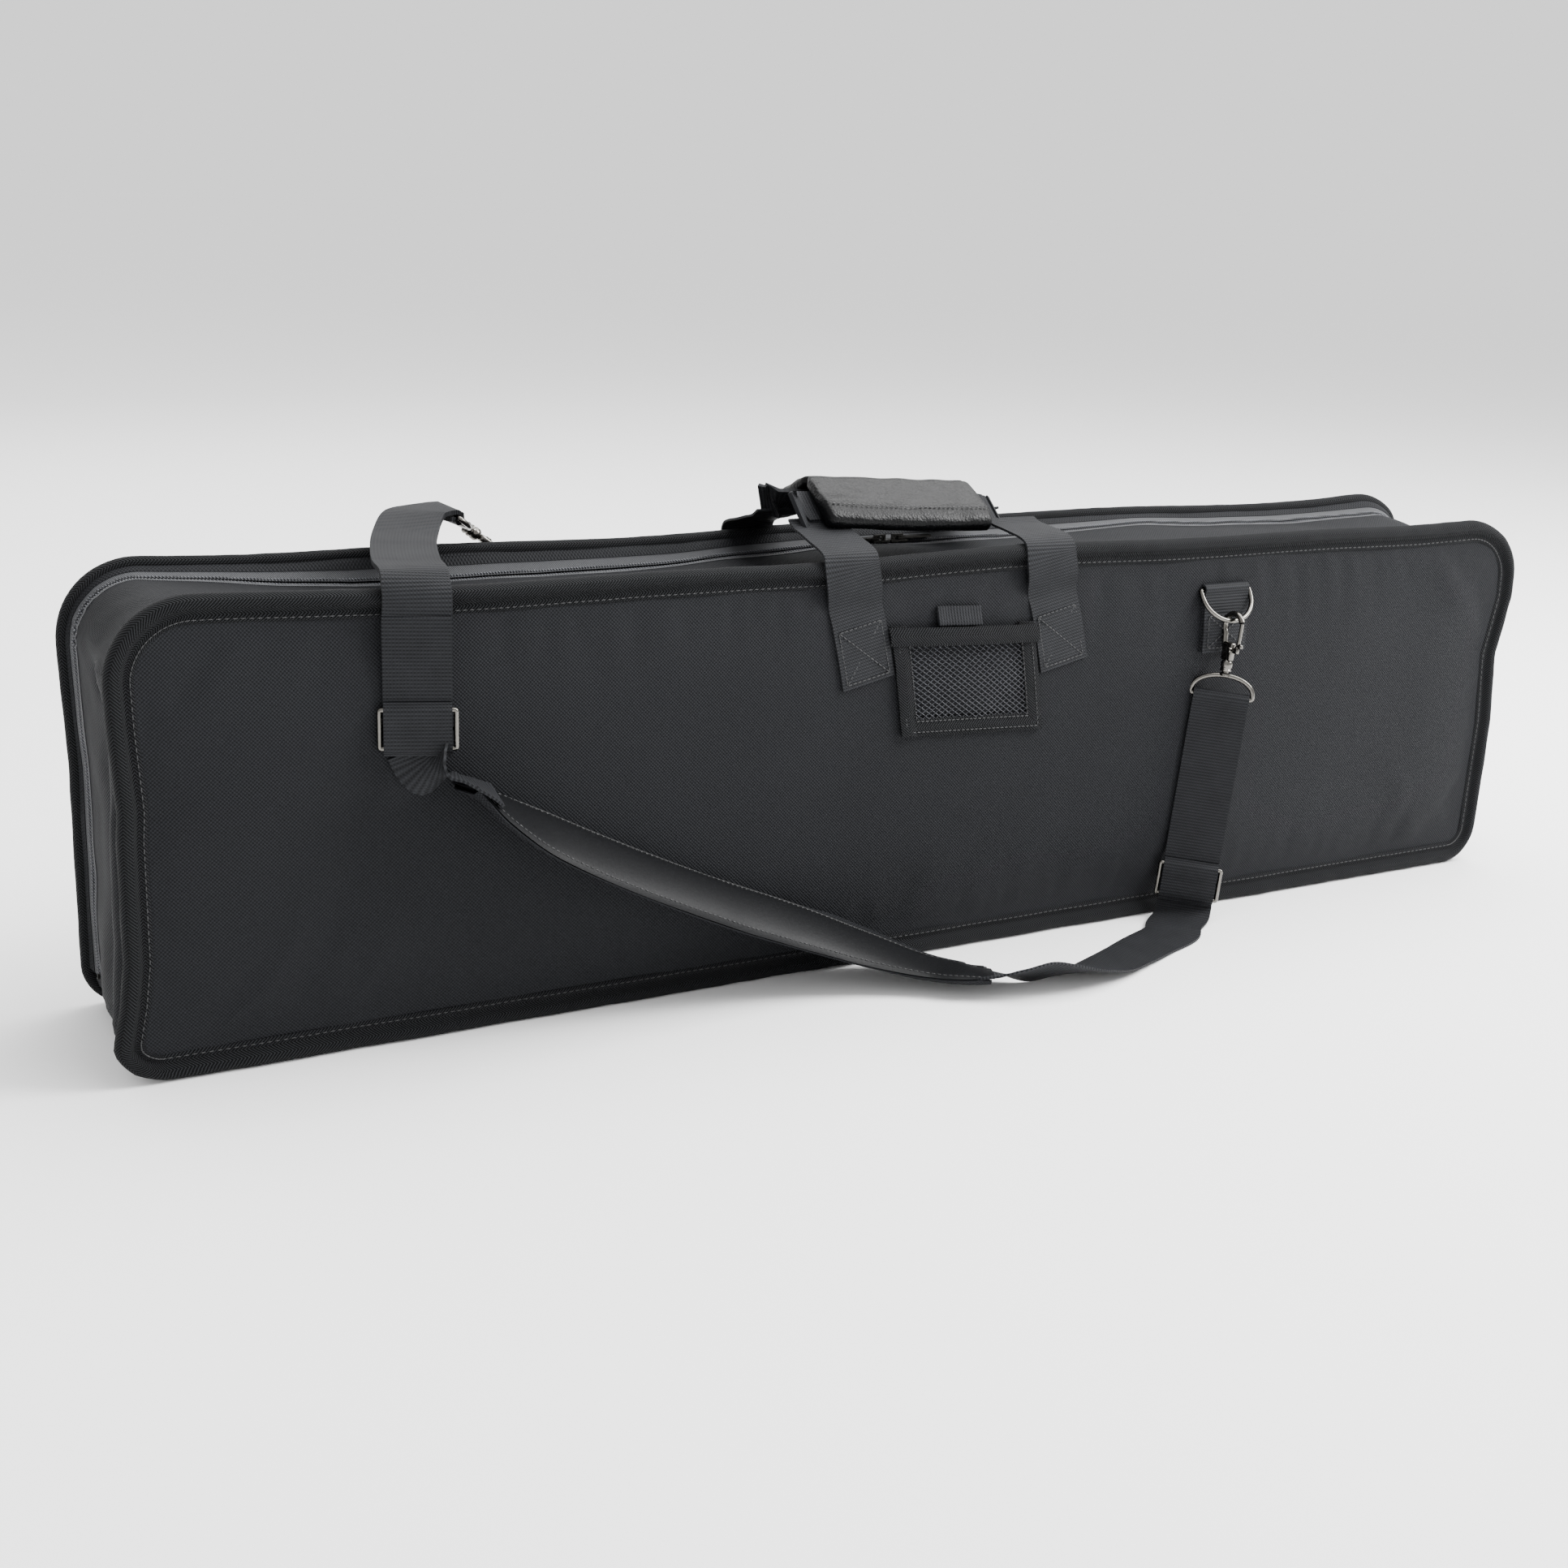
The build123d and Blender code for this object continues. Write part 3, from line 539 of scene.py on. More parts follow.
def skin(t, y, lift=0.0):
    # a point of the gusset's outer face: t round the case, y through it
    gx, gz, nx, nz = outline(t, shape["gussetHalf"], 0.0, shape["gussetHigh"], shape["gussetTop"],
                             shape["gussetBase"])
    bx, bz, _, _ = beadLine(t)
    edge = ease((abs(y) - 0.045) / 0.014)
    x, z = gx + (bx - gx) * edge, gz + (bz - gz) * edge
    inside = 1 - edge
    off = 0.0
    if nz > 0:
        off += nz * (table(shape["topSag"], gx) - 0.0035 * bell(y, -0.012, 0.030))
        off += nz * 0.0016 * ripple(gx, y * 2.2, 0.0, 0.055)
    if abs(nx) > 0.05:
        off += abs(nx) * endFolds(nx, y, gz)
        off += abs(nx) * 0.0012 * ripple(y * 1.5, gz, 4.0 * nx, 0.03)
    if nz < 0:
        off -= nz * 0.0008 * (1 - abs(nx))
    off = off * inside + lift
    return Vector(flare(x + nx * off, y, z + nz * off))


# panels: foam-backed fabric, drawn taut into the seams, with a few soft creases

panel = {
    "inset": 0.0065, "cols": 190, "rows": 50, "thick": 0.0078, "bulge": 0.0032,
    "creases": [(-0.440, 0.040, 62, 0.055, 0.006, 0.0022), (-0.405, 0.060, 70, 0.060, 0.008, -0.0020),
                (-0.375, 0.045, 75, 0.050, 0.007, 0.0018), (-0.455, 0.150, 30, 0.060, 0.012, 0.0016),
                (-0.400, 0.170, 18, 0.080, 0.012, -0.0012), (-0.050, 0.032, 24, 0.060, 0.007, 0.0018),
                (0.000, 0.040, 38, 0.060, 0.008, -0.0015), (0.060, 0.036, 50, 0.045, 0.007, 0.0014),
                (0.430, 0.045, 120, 0.050, 0.010, 0.0012), (0.455, 0.210, 140, 0.050, 0.010, 0.0014),
                (0.180, 0.030, 150, 0.060, 0.008, 0.0009)],
    "simSteps": 14, "cap": 0.0022, "pressure": 2.2,
}


def halfWidth(z, half, low, high, top, base):
    if z > high - top:
        d = z - (high - top)
        return half - top + math.sqrt(max(top * top - d * d, 0))
    if z < low + base:
        d = low + base - z
        return half - base + math.sqrt(max(base * base - d * d, 0))
    return half


def panelDepth(x, z, side):
    # how far the panel stands proud of its seam plane
    i = panel["inset"]
    edge = min(z - i, shape["high"] - i - z, shape["half"] - i - abs(x))
    depth = panel["bulge"] * ease(edge / 0.07) + 0.0011 * ease(edge / 0.02) * ripple(x, z, 3.0 * side, 0.11)
    if side < 0:
        for cx, cz, angle, length, width, high in panel["creases"]:
            dx, dz = x - cx, z - cz
            a = deg(angle)
            s, c = dx * math.cos(a) + dz * math.sin(a), -dx * math.sin(a) + dz * math.cos(a)
            c += 0.004 * math.sin(s * 60)
            depth += high * bell(s, 0, length) * bell(c, 0, width) * ease(edge / 0.03)
    return max(depth, 0.0)


def makePanel(name, side):
    i = panel["inset"]
    z0, z1 = i, shape["high"] - i
    y = side * shape["faceY"]

    def place(u, v):
        z = z0 + (z1 - z0) * v
        w = halfWidth(z, shape["half"] - i, z0, z1, shape["cornerTop"] - i, shape["cornerBase"] - i)
        x = (u * 2 - 1) * w * -side
        return flare(x, y + side * panelDepth(x, z, side), z)

    obj = clothGrid(name, panel["cols"], panel["rows"], place, (2 * shape["half"], shape["high"]))
    edit(obj, ("normals_make_consistent", {"inside": False}))
    if (obj.data.polygons[len(obj.data.polygons) // 2].normal.y > 0) != (side > 0):
        edit(obj, ("flip_normals", {}))
    return obj


def settleCloth(obj, pinned, pressure, steps, cap, outward):
    # lets the fabric settle under pressure from its foam, no further than cap from where it was cut
    pick(obj)
    start = np.array([v.co for v in obj.data.vertices])
    group = obj.vertex_groups.new(name="Seam")
    group.add([i for i, p in enumerate(start) if pinned(p)], 1.0, "REPLACE")
    cloth = obj.modifiers.new("Cloth", "CLOTH")
    cloth.settings.vertex_group_mass = "Seam"
    cloth.settings.quality = 5
    cloth.settings.mass = 0.3
    cloth.settings.tension_stiffness = cloth.settings.compression_stiffness = 12
    cloth.settings.shear_stiffness = 4
    cloth.settings.bending_stiffness = 1.5
    cloth.settings.use_pressure = True
    cloth.settings.uniform_pressure_force = pressure
    cloth.settings.shrink_min = -0.006
    cloth.settings.effector_weights.gravity = 0
    cloth.collision_settings.use_collision = False
    scene = bpy.context.scene
    for step in range(1, steps + 1):
        scene.frame_set(step)
    bpy.ops.object.modifier_apply(modifier=cloth.name)
    scene.frame_set(1)
    now = np.array([v.co for v in obj.data.vertices])
    move = now - start
    along = np.clip(move @ np.array(outward), -0.0004, None)[:, None] * np.array(outward)
    across = move - (move @ np.array(outward))[:, None] * np.array(outward)
    move = along + across * 0.5
    size = np.linalg.norm(move, axis=1)
    move *= (cap * np.tanh(size / cap) / np.maximum(size, 1e-9))[:, None]
    obj.data.vertices.foreach_set("co", (start + move).ravel())
    obj.vertex_groups.clear()
    return obj


panelTree = {}


def faceAt(x, z, side):
    # outer face of the settled panel, from its four nearest points
    tree, depths = panelTree[side]
    near = tree.find_n((x, 0, z), 4)
    weights = [1 / (gap + 0.0005) for _, _, gap in near]
    return sum(w * depths[k] for w, (_, k, _) in zip(weights, near)) / sum(weights)


for name, side, body in (("front", -1, "case"), ("back", 1, "back_panel")):
    obj = makePanel(name + "Panel", side)

    def onSeam(p):
        return (min(p[2], shape["high"] - p[2]) < 0.022 or abs(p[0]) > 0.49
                or (abs(p[0]) > 0.46 and (p[2] < 0.035 or p[2] > 0.225)))

    settleCloth(obj, onSeam, panel["pressure"], panel["simSteps"], panel["cap"], (0, side, 0))
    tree = KDTree(len(obj.data.vertices))
    for vert in obj.data.vertices:
        tree.insert((vert.co.x, 0, vert.co.z), vert.index)
    tree.balance()
    panelTree[side] = (tree, [side * vert.co.y for vert in obj.data.vertices])
    modify(obj, "SOLIDIFY", thickness=panel["thick"], offset=-1)
    smooth(obj, 60)
    finishPiece(obj, shell, body, [name + "_panel_fabric", name + "_panel_foam"])

    def liningPlace(u, v, side=side):
        z = 0.0105 + 0.246 * v
        x = (u * 2 - 1) * halfWidth(z, 0.4995, 0.0105, 0.2565, 0.036, 0.016) * -side
        return (x, side * (0.0541 - 0.0003 * ripple(x, z, 1.0, 0.04)), z)

    obj = clothGrid(name + "Lining", 120, 32, liningPlace, (1.0, 0.246))
    modify(obj, "SOLIDIFY", thickness=0.0007, offset=0)
    smooth(obj)
    finishPiece(obj, liningNap, body, [name + "_panel_lining"])
print("panels done")


# gusset: one padded band round the case, open along the zip

gussetBand = {"cols": 420, "rows": 34, "front": -0.0595, "zipEdge": 0.0425, "baseEdge": 0.0532,
              "thick": 0.0078}


def farEdge(t):
    _, gz, nx, nz = outline(t, shape["gussetHalf"], 0.0, shape["gussetHigh"], shape["gussetTop"],
                            shape["gussetBase"])
    return gussetBand["zipEdge"] + (gussetBand["baseEdge"]
                                    - gussetBand["zipEdge"]) * ease((0.024 - gz) / 0.005)


def makeBand(name, lift, cols, rows, thick):
    def place(u, v):
        y = gussetBand["front"] + (farEdge(u) - gussetBand["front"]) * v
        return skin(u, y, lift)

    obj = clothGrid(name, cols, rows, place, (loopLength, 0.1))
    closeSeams(obj)
    modify(obj, "SOLIDIFY", thickness=thick, offset=-1)
    return smooth(obj, 60)


gusset = makeBand("gusset", 0.0, gussetBand["cols"], gussetBand["rows"], gussetBand["thick"])
finishPiece(gusset, shellWrap, "case",
            ["gusset_fabric", "gusset_foam_top", "gusset_foam_base", "gusset_foam_left", "gusset_foam_right"])
gussetLining = makeBand("gussetLining", -0.0082, 260, 18, 0.0007)
finishPiece(gussetLining, liningNap, "case", ["gusset_lining"])
print("gusset done")


# bindings: bound seam with the tape's flange sewn down on the panel

bindingTape = {
    "cols": 560, "stitchInset": 0.0137, "stitchPitch": 0.0042,
    "profile": [(0.0160, -0.0019), (0.0158, -0.0024), (0.0140, -0.0028), (0.0118, -0.0024), (0.0104, -0.0021),
                (0.0092, -0.0032), (0.0074, -0.0051), (0.0050, -0.0058), (0.0024, -0.0049), (0.0006, -0.0028),
                (0.0000, 0.0002), (0.0006, 0.0028), (0.0024, 0.0045), (0.0048, 0.0051), (0.0075, 0.0042),
                (0.0092, 0.0024), (0.0097, 0.0002), (0.0104, -0.0008), (0.0135, -0.0010), (0.0158, -0.0012),
                (0.0160, -0.0019)],
}


def seamPoint(t, inset, y, side):
    # a point of the bound seam: inset from the outline, y off the seam plane (minus is outwards)
    d = inset
    x, z, nx, nz = outline(t, shape["half"] - d, d, shape["high"] - d,
                           max(shape["cornerTop"] - d, 0.004), max(shape["cornerBase"] - d, 0.003))
    wobble = 0.0011 * ripple(x, z, 9.0 * side, 0.045)
    px, py, pz = flare(x, side * (shape["seamY"] - y), z)
    return Vector((px, py - side * wobble, pz)), Vector((nx, 0, nz))


def makeBinding(name, side):
    profile, around = smoothLine([(a, b, 0) for a, b in bindingTape["profile"]], 0.0011)
    last = len(profile) - 1

    def place(u, v):
        inset, y, _ = profile[int(round(v * last))]
        x, z, _, _ = outline(u, 0.5, 0, 0.25, 0.04, 0.03)
        fat = 1 + 0.07 * ripple(x, z, side * 2.0, 0.014)
        if inset < 0.0098:
            inset = 0.00475 + (inset - 0.00475) * fat
            y = y * fat
        if side > 0 and y < -0.0012:
            y -= 0.0001
        return seamPoint(u, max(inset, 0.0), y, side)[0]

    obj = clothGrid(name, bindingTape["cols"], last, place, (loopLength, around))
    closeSeams(obj)
    return smooth(obj, 70)


def stitchShape(length, radius=0.00042):
    deselect()
    bpy.ops.mesh.primitive_uv_sphere_add(segments=6, ring_count=4, radius=1)
    obj = bpy.context.object
    obj.data.transform(Matrix.Rotation(deg(90), 4, "Y"))
    obj.data.transform(Matrix.Diagonal((length / 2, radius, radius, 1)))
    return obj


def stitchRun(places, line, up, pitch):
    # adds stitches end to end along a line of points
    points, _ = smoothLine([list(p) for p in line], pitch) if len(line) > 2 else (None, 0)
    if points is None:
        a, b = np.array(line[0]), np.array(line[1])
        count = max(int(np.linalg.norm(b - a) / pitch), 1)
        points = np.array([a + (b - a) * k / count for k in range(count + 1)])
    for a, b in zip(points, points[1:]):
        places.append(lay((a[:3] + b[:3]) / 2, b[:3] - a[:3], up))


for name, side, body in (("front", -1, "case"), ("back", 1, "back_panel")):
    obj = makeBinding(name + "Binding", side)
    finishPiece(obj, twill, body, [name + "_binding"])
    count = int(loopLength / bindingTape["stitchPitch"])
    places = []
    for k in range(count):
        a, _ = seamPoint(k / count, bindingTape["stitchInset"], -0.0029, side)
        b, _ = seamPoint((k + 0.72) / count, bindingTape["stitchInset"], -0.0029, side)
        places.append(lay((a + b) / 2, b - a, (0, side, 0)))
    obj = repeat(name + "BindingStitches", stitchShape(0.0031), places)
    finishPiece(obj, threadTwist, body)
print("bindings done")


# zip: tapes, two rows of coil, end stops stay from the frame

zipParts = {"pitch": 0.0019, "low": 0.0235, "caseCoil": (0.0441, 0.0466), "backCoil": (0.0474, 0.0499),
            "tape": 0.011, "long": 1.45, "shown": 0.45}


def zipRange():
    # where the zip runs: up the right end, over the top and down the left end
    ts = np.linspace(0, 1, 4001)
    keep = [t for t in ts if outline(t, 0.502, 0, 0.253, 0.036, 0.022)[1] > zipParts["low"] - 0.001]
    return keep[0], keep[-1]


zipStart, zipEnd = zipRange()


def zipStrip(name, y0, y1, lift, thick, cols=420):
    def place(u, v):
        return skin(zipStart + (zipEnd - zipStart) * u, y0 + (y1 - y0) * v, lift)
    obj = clothGrid(name, cols, 3, place, (zipParts["long"], y1 - y0))
    modify(obj, "SOLIDIFY", thickness=thick, offset=-1)
    return smooth(obj, 60)


def coilRow(name, y0, y1, lean):
    deselect()
    bpy.ops.mesh.primitive_uv_sphere_add(segments=6, ring_count=5, radius=1)
    tooth = bpy.context.object
    tooth.data.transform(Matrix.Rotation(deg(90), 4, "X"))
    tooth.data.transform(Matrix.Diagonal((0.00062, (y1 - y0) / 2 * 1.12, 0.0009, 1)))
    count = int(1.44 / zipParts["pitch"])
    places = []
    for k in range(count):
        t = zipStart + (zipEnd - zipStart) * (k + 0.5) / count
        a, b = skin(t - 0.0004, y0), skin(t + 0.0004, y0)
        up = (skin(t, y0, 0.002) - skin(t, y0)).normalized()
        centre = skin(t, (y0 + y1) / 2, 0.0003)
        places.append(lay(centre, (b - a).normalized() + Vector((0, lean, 0)), up))
    return repeat(name, tooth, places)


for name, body, span, tapeSpan, tapeNode in (
        ("Case", "case", zipParts["caseCoil"], (0.0415, 0.0462), "case"),
        ("Back", "back_panel", zipParts["backCoil"], (0.0478, 0.0525), "back")):
    obj = zipStrip("zipTape" + name, tapeSpan[0], tapeSpan[1], -0.0001, 0.0006)
    finishPiece(obj, tapeKnit, body, ["zip_tape_" + tapeNode])
    obj = coilRow("zipCoil" + name, span[0], span[1], 0.12 if name == "Case" else -0.12)
    finishPiece(obj, coilNylon, body, ["zip_coil_" + tapeNode])
facing = zipStrip("zipFacing", 0.0522, 0.0588, 0.0, 0.0009)
finishPiece(facing, shellWrap, "back_panel", ["zip_facing"])
print("zip done")


# handles: webbing legs box-stitched to the panels, joined by a wrapped leatherette grip

handle = {
    "width": 0.038, "thick": 0.0015, "lean": 12.0, "middle": 0.2105, "legs": (-0.057, 0.093),
    "drops": (0.0, 0.0065),
    "route": [(63.4, 189.0), (63.3, 200.0), (63.3, 215.0), (63.4, 228.0), (64.6, 238.0), (67.8, 250.0),
              (68.3, 262.0), (66.0, 269.6), (59.0, 273.0)],
}


def legStations(x, side, drop):
    slope = -math.tan(deg(handle["lean"]))
    route = [(y / 1000, z / 1000) for y, z in handle["route"]]
    route += [(0.0475, 0.2758 - drop * 0.2), (0.036, 0.2790 - drop * 0.5), (0.027, 0.2812 - drop * 0.7),
              (0.020, 0.2855 - drop)]
    stations = []
    for y, z in route:
        if z < 0.24:
            y = max(y, faceAt(x + slope * (z - handle["middle"]), z, side) + 0.0010)
        stations.append(((x + slope * min(z - handle["middle"], 0.052), side * (y + 0.0002), z), (1, 0, 0)))
    return stations


def boxStitches(places, centre, lean, side, width, high, y):
    # a square with a cross, sewn through the end of a strap
    c, s = math.cos(lean), math.sin(lean)

    def spot(u, v):
        x, z = centre[0] + u * c - v * s, centre[1] + u * s + v * c
        return (x, side * (faceAt(x, z, side) + y), z)

    w, h = width / 2, high / 2
    corners = [spot(-w, -h), spot(w, -h), spot(w, h), spot(-w, h)]
    for a, b in ((0, 1), (1, 2), (2, 3), (3, 0), (0, 2), (1, 3)):
        stitchRun(places, (corners[a], corners[b]), (0, side, 0), 0.0034)


for name, side, body, parent in (("Front", -1, "handle_front", "case"),
                                 ("Rear", 1, "handle_rear", "back_panel")):
    low = name.lower()
    places = []
    for leg, x, drop in zip(("Left", "Right"), handle["legs"], handle["drops"]):
        obj = strap("handle" + name + leg, legStations(x, side, drop), handle["width"], handle["thick"],
                    step=0.0025, rows=8, wave=0.0006)
        replaced = ["handle_patches_" + low, "handle_webbing_" + low] if leg == "Left" else []
        finishPiece(obj, webbingCloth, (parent, body, (x, side * 0.064, 0.2295), (x, side * 0.064, 0.2385)),
                    replaced)
        boxStitches(places, (x + 0.0004, 0.2085), deg(handle["lean"]), side, 0.031, 0.034, 0.0021)
    obj = repeat("handleStitches" + name, stitchShape(0.0030), places)
    finishPiece(obj, threadTwist, parent)
    ends = [((-0.083, side * 0.024, 0.2915), (0, -side * 0.60, 0.80)),
            ((-0.076, side * 0.018, 0.2915), (0, -side * 0.72, 0.69)),
            ((-0.066, side * 0.0145, 0.2920), (0, -side * 0.79, 0.61)),
            ((0.062, side * 0.0135, 0.2845), (0, -side * 0.79, 0.61)),
            ((0.072, side * 0.0135, 0.2840), (0, -side * 0.79, 0.61))]
    obj = strap("handleRun" + name, ends, 0.024, 0.0026, step=0.004, wave=0.0008)
    finishPiece(obj, webbingCloth, body, ())
print("handles done")

grip = {
    "left": -0.0665, "right": 0.0605, "tilt": 3.5, "ridge": 0.305, "cols": 64, "soft": 0.0045,
    "profile": [(0.0006, 0.0), (0.0006, -0.0035), (0.004, -0.0075), (0.0185, -0.0178), (0.0255, -0.0240),
                (0.0300, -0.0268), (0.0345, -0.0262), (0.0368, -0.0222), (0.0352, -0.0172), (0.0285, -0.0112),
                (0.0215, -0.0078), (0.0120, -0.0035), (0.0035, 0.0003), (0.0006, 0.0)],
}


def makeGrip(name, side):
    profile, around = smoothLine([(y, z, 0) for y, z in grip["profile"]], 0.0016)
    profile = profile[:-1]
    middleY, middleZ = profile[:, 0].mean(), profile[:, 1].mean()
    long = grip["right"] - grip["left"]
    last = len(profile)

    def place(u, v):
        y, z, _ = profile[int(round(v * last)) % last]
        e = min(u, 1 - u) * long / grip["soft"]
        shrink = math.sqrt(max(1 - (1 - min(e, 1)) ** 2, 0.0))
        keep = 0.55 + 0.45 * shrink if e > 0.001 else 0.0
        y, z = middleY + (y - middleY) * keep, middleZ + (z - middleZ) * keep
        x = grip["left"] + long * u
        sag = 0.0016 * bell(x, 0.0, 0.05) * ease(y / 0.03)
        soft = 0.0007 * ripple(x, y * 1.6, z * 1.6, 0.016)
        a = deg(grip["tilt"])
        dx = x - (grip["left"] + grip["right"]) / 2
        return (x + z * math.sin(a), side * max(y + soft * 0.5, 0.0004),
                grip["ridge"] + z * math.cos(a) + soft - sag - dx * math.sin(a))

    obj = clothGrid(name, grip["cols"], last, place, (long, around))
    closeSeams(obj)
    modify(obj, "SUBSURF", levels=1, render_levels=1)
    return smooth(obj, 80)


for name, side, body in (("Front", -1, "handle_front"), ("Rear", 1, "handle_rear")):
    obj = makeGrip("grip" + name, side)
    finishPiece(obj, gripLeather, body, ["grip_" + name.lower()])
    places = []
    for y, z in ((0.0308, -0.0123), (0.0325, -0.0262)):
        a = deg(grip["tilt"])
        line = []
        for x in np.linspace(grip["left"] + 0.004, grip["right"] - 0.004, 24):
            line.append((x, side * y, grip["ridge"] + z * math.cos(a) + 0.0005 * (1 if z > -0.02 else -1)
                         - (x + 0.003) * math.sin(a)
                         - 0.0016 * bell(x, 0.0, 0.05) * ease(y / 0.03)))
        stitchRun(places, line, (0, side * 0.6, 0.8 if z > -0.02 else -0.8), 0.0036)
    obj = repeat("gripStitches" + name, stitchShape(0.0028), places)
    finishPiece(obj, threadTwist, body)
print("grip done")


# label pocket: twill border sewn down on three sides, net window, webbing pull

pocket = {"x": 0.0224, "z": 0.185, "width": 0.109, "high": 0.071, "border": 0.0115, "lean": 9.0, "drop": 2.5,
          "cell": 0.0048, "strand": 0.00038}


def pocketSpot(u, v):
    # u, v from -1 to 1 over the whole pocket
    lean, drop = math.tan(deg(pocket["lean"])), math.tan(deg(pocket["drop"]))
    du, dv = u * pocket["width"] / 2, v * pocket["high"] / 2
    return pocket["x"] + du - dv * lean, pocket["z"] + dv - du * drop


def pocketFront(x, z):
    return -faceAt(x, z, -1) - 0.0006


def pocketStrip(name, a, b, inner, bulge):
    # one side of the border from corner a to corner b; inner is how far it reaches in, as (u, v)
    (xa, za), (xb, zb) = pocketSpot(*a), pocketSpot(*b)
    (xc, zc) = pocketSpot(a[0] + inner[0], a[1] + inner[1])
    long = math.hypot(xb - xa, zb - za)

    def place(u, v):
        x = xa + (xb - xa) * u + (xc - xa) * v
        z = za + (zb - za) * u + (zc - za) * v
        y = pocketFront(x, z) - 0.0007 - bulge * math.sin(math.pi * u) - 0.0009 * math.sin(math.pi * v)
        y -= 0.0004 * ripple(x, z, 0.0, 0.012)
        return (x, y, z)

    obj = clothGrid(name, 40, 8, place, (long, pocket["border"]))
    modify(obj, "SOLIDIFY", thickness=0.0015, offset=0)
    return smooth(obj, 60)


bu, bv = 2 * pocket["border"] / pocket["width"], 2 * pocket["border"] / pocket["high"]
sides = [pocketStrip("pocketBase", (-1.0, -1.0), (1.0, -1.0), (0, bv), 0.0003),
         pocketStrip("pocketLeft", (-1.0, -1.0), (-1.0, 1.03), (bu, 0), 0.0002),
         pocketStrip("pocketRight", (1.0, -1.0), (1.0, 1.05), (-bu, 0), 0.0002),
         pocketStrip("pocketTop", (-1.035, 1.0), (1.035, 1.0), (0, -bv), 0.0026)]
for k, obj in enumerate(sides):
    obj.data.transform(Matrix.Translation((0, -0.0007 * (k % 2) - (0.0009 if k == 3 else 0), 0)))
frameCloth = joinAll("pocketFrame", sides)
finishPiece(frameCloth, twill, "case", ["pocket_frame"])

places = []
for a, b in (((-0.93, -0.92), (0.93, -0.92)), ((-0.93, -0.92), (-0.93, 0.9)), ((0.93, -0.92), (0.93, 0.9)),
             ((-0.80, -0.72), (0.80, -0.72)), ((-0.97, 0.73), (0.97, 0.73)), ((-0.79, -0.70), (-0.79, 0.70)),
             ((0.79, -0.70), (0.79, 0.70)), ((-0.97, 0.92), (0.97, 0.92))):
    line = []
    for f in np.linspace(0, 1, 12):
        x, z = pocketSpot(a[0] + (b[0] - a[0]) * f, a[1] + (b[1] - a[1]) * f)
        rise = 0.0026 * math.sin(math.pi * f) + 0.0012 if a[1] > 0.5 and b[1] > 0.5 else 0.0008
        line.append((x, pocketFront(x, z) - 0.0018 - rise, z))
    stitchRun(places, line, (0, -1, 0), 0.0033)
obj = repeat("pocketStitches", stitchShape(0.0027), places)
finishPiece(obj, threadTwist, "case")


def makeNet():
    # diagonal mesh: a grid cut on the bias, its cells opened to diamonds by the wireframe modifier
    iu, iv = 1 - bu * 0.8, 1 - bv * 0.8
    cols = int(pocket["width"] * iu / pocket["cell"] * 1.0)
    rows = int(pocket["high"] * iv / pocket["cell"] * 1.35)
    verts, faces, index = [], [], {}

    def corner(i, j):
        if (i, j) not in index:
            u, v = (i / (2 * cols)) * 2 - 1, (j / (2 * rows)) * 2 - 1
            x, z = pocketSpot(u * iu, v * iv)
            y = pocketFront(x, z) - 0.0008 - 0.0032 * max(1 - u * u, 0) * max(1 - v * v, 0)
            y -= 0.0010 * ripple(x, z, 5.0, 0.02)
            index[(i, j)] = len(verts)
            verts.append((x, y, z))
        return index[(i, j)]

    for i in range(1, 2 * cols):
        for j in range(1, 2 * rows):
            if (i + j) % 2:
                faces.append((corner(i - 1, j), corner(i, j - 1), corner(i + 1, j), corner(i, j + 1)))
    mesh = bpy.data.meshes.new("pocketNet")
    mesh.from_pydata(verts, [], faces)
    obj = bpy.data.objects.new("pocketNet", mesh)
    bpy.context.scene.collection.objects.link(obj)
    modify(obj, "WIREFRAME", thickness=pocket["strand"] * 2, use_replace=True, use_even_offset=False)
    return smooth(obj, 70)


net = makeNet()
finishPiece(net, netNylon, "case", ["pocket_net"])

tabX, tabZ = pocket["x"] - 0.0085, pocket["z"] + pocket["high"] / 2 + 0.0005


def tabPlace(u, v):
    x = tabX + (u - 0.5) * 0.033 - 0.001 * v
    z = tabZ + 0.0125 * v - (u - 0.5) * 0.0015
    return (x, pocketFront(x, z) - 0.0012 - 0.0012 * bell(v, 0.0, 0.5), z)


obj = clothGrid("pocketPull", 16, 8, tabPlace, (0.033, 0.0125))
modify(obj, "SOLIDIFY", thickness=0.0024, offset=0)
modify(obj, "BEVEL", width=0.0006, segments=2)
smooth(obj, 60)
finishPiece(obj, webbingCloth, "case", ["pocket_tab"])
print("pocket done")


# rings, hooks, loops and glides

metal = {"wire": 0.0017, "ringInner": 0.0193, "ringDepth": 0.024, "loopDepth": 0.015, "leanFront": 33.0,
         "leanRear": 28.0,
         "standoff": 0.0042, "tabFront": (0.232, 0.231, 0.188), "tabRear": (-0.216, 0.238, 0.195),
         "riserTurn": 37.0,
         "riserLean": 6.0, "riserLow": 0.0135}


def ringPoints(depth):
    # D-shaped: straight bar on the X axis, bow towards minus Z
    h = metal["ringInner"] + metal["wire"]
    points = [(-h * 0.5, 0, 0), (0, 0, 0), (h * 0.5, 0, 0), (h - 0.0010, 0, 0), (h, 0, -0.0012)]
    for k in range(0, 13):
        a = deg(-k * 15)
        points.append((h * math.cos(a), 0, -depth * 0.22 + (depth * 0.78) * math.sin(a)))
    points += [(-h, 0, -0.0012), (-h + 0.0010, 0, 0)]
    return points


def placed(obj, matrix):
    obj.data.transform(matrix)
    return obj


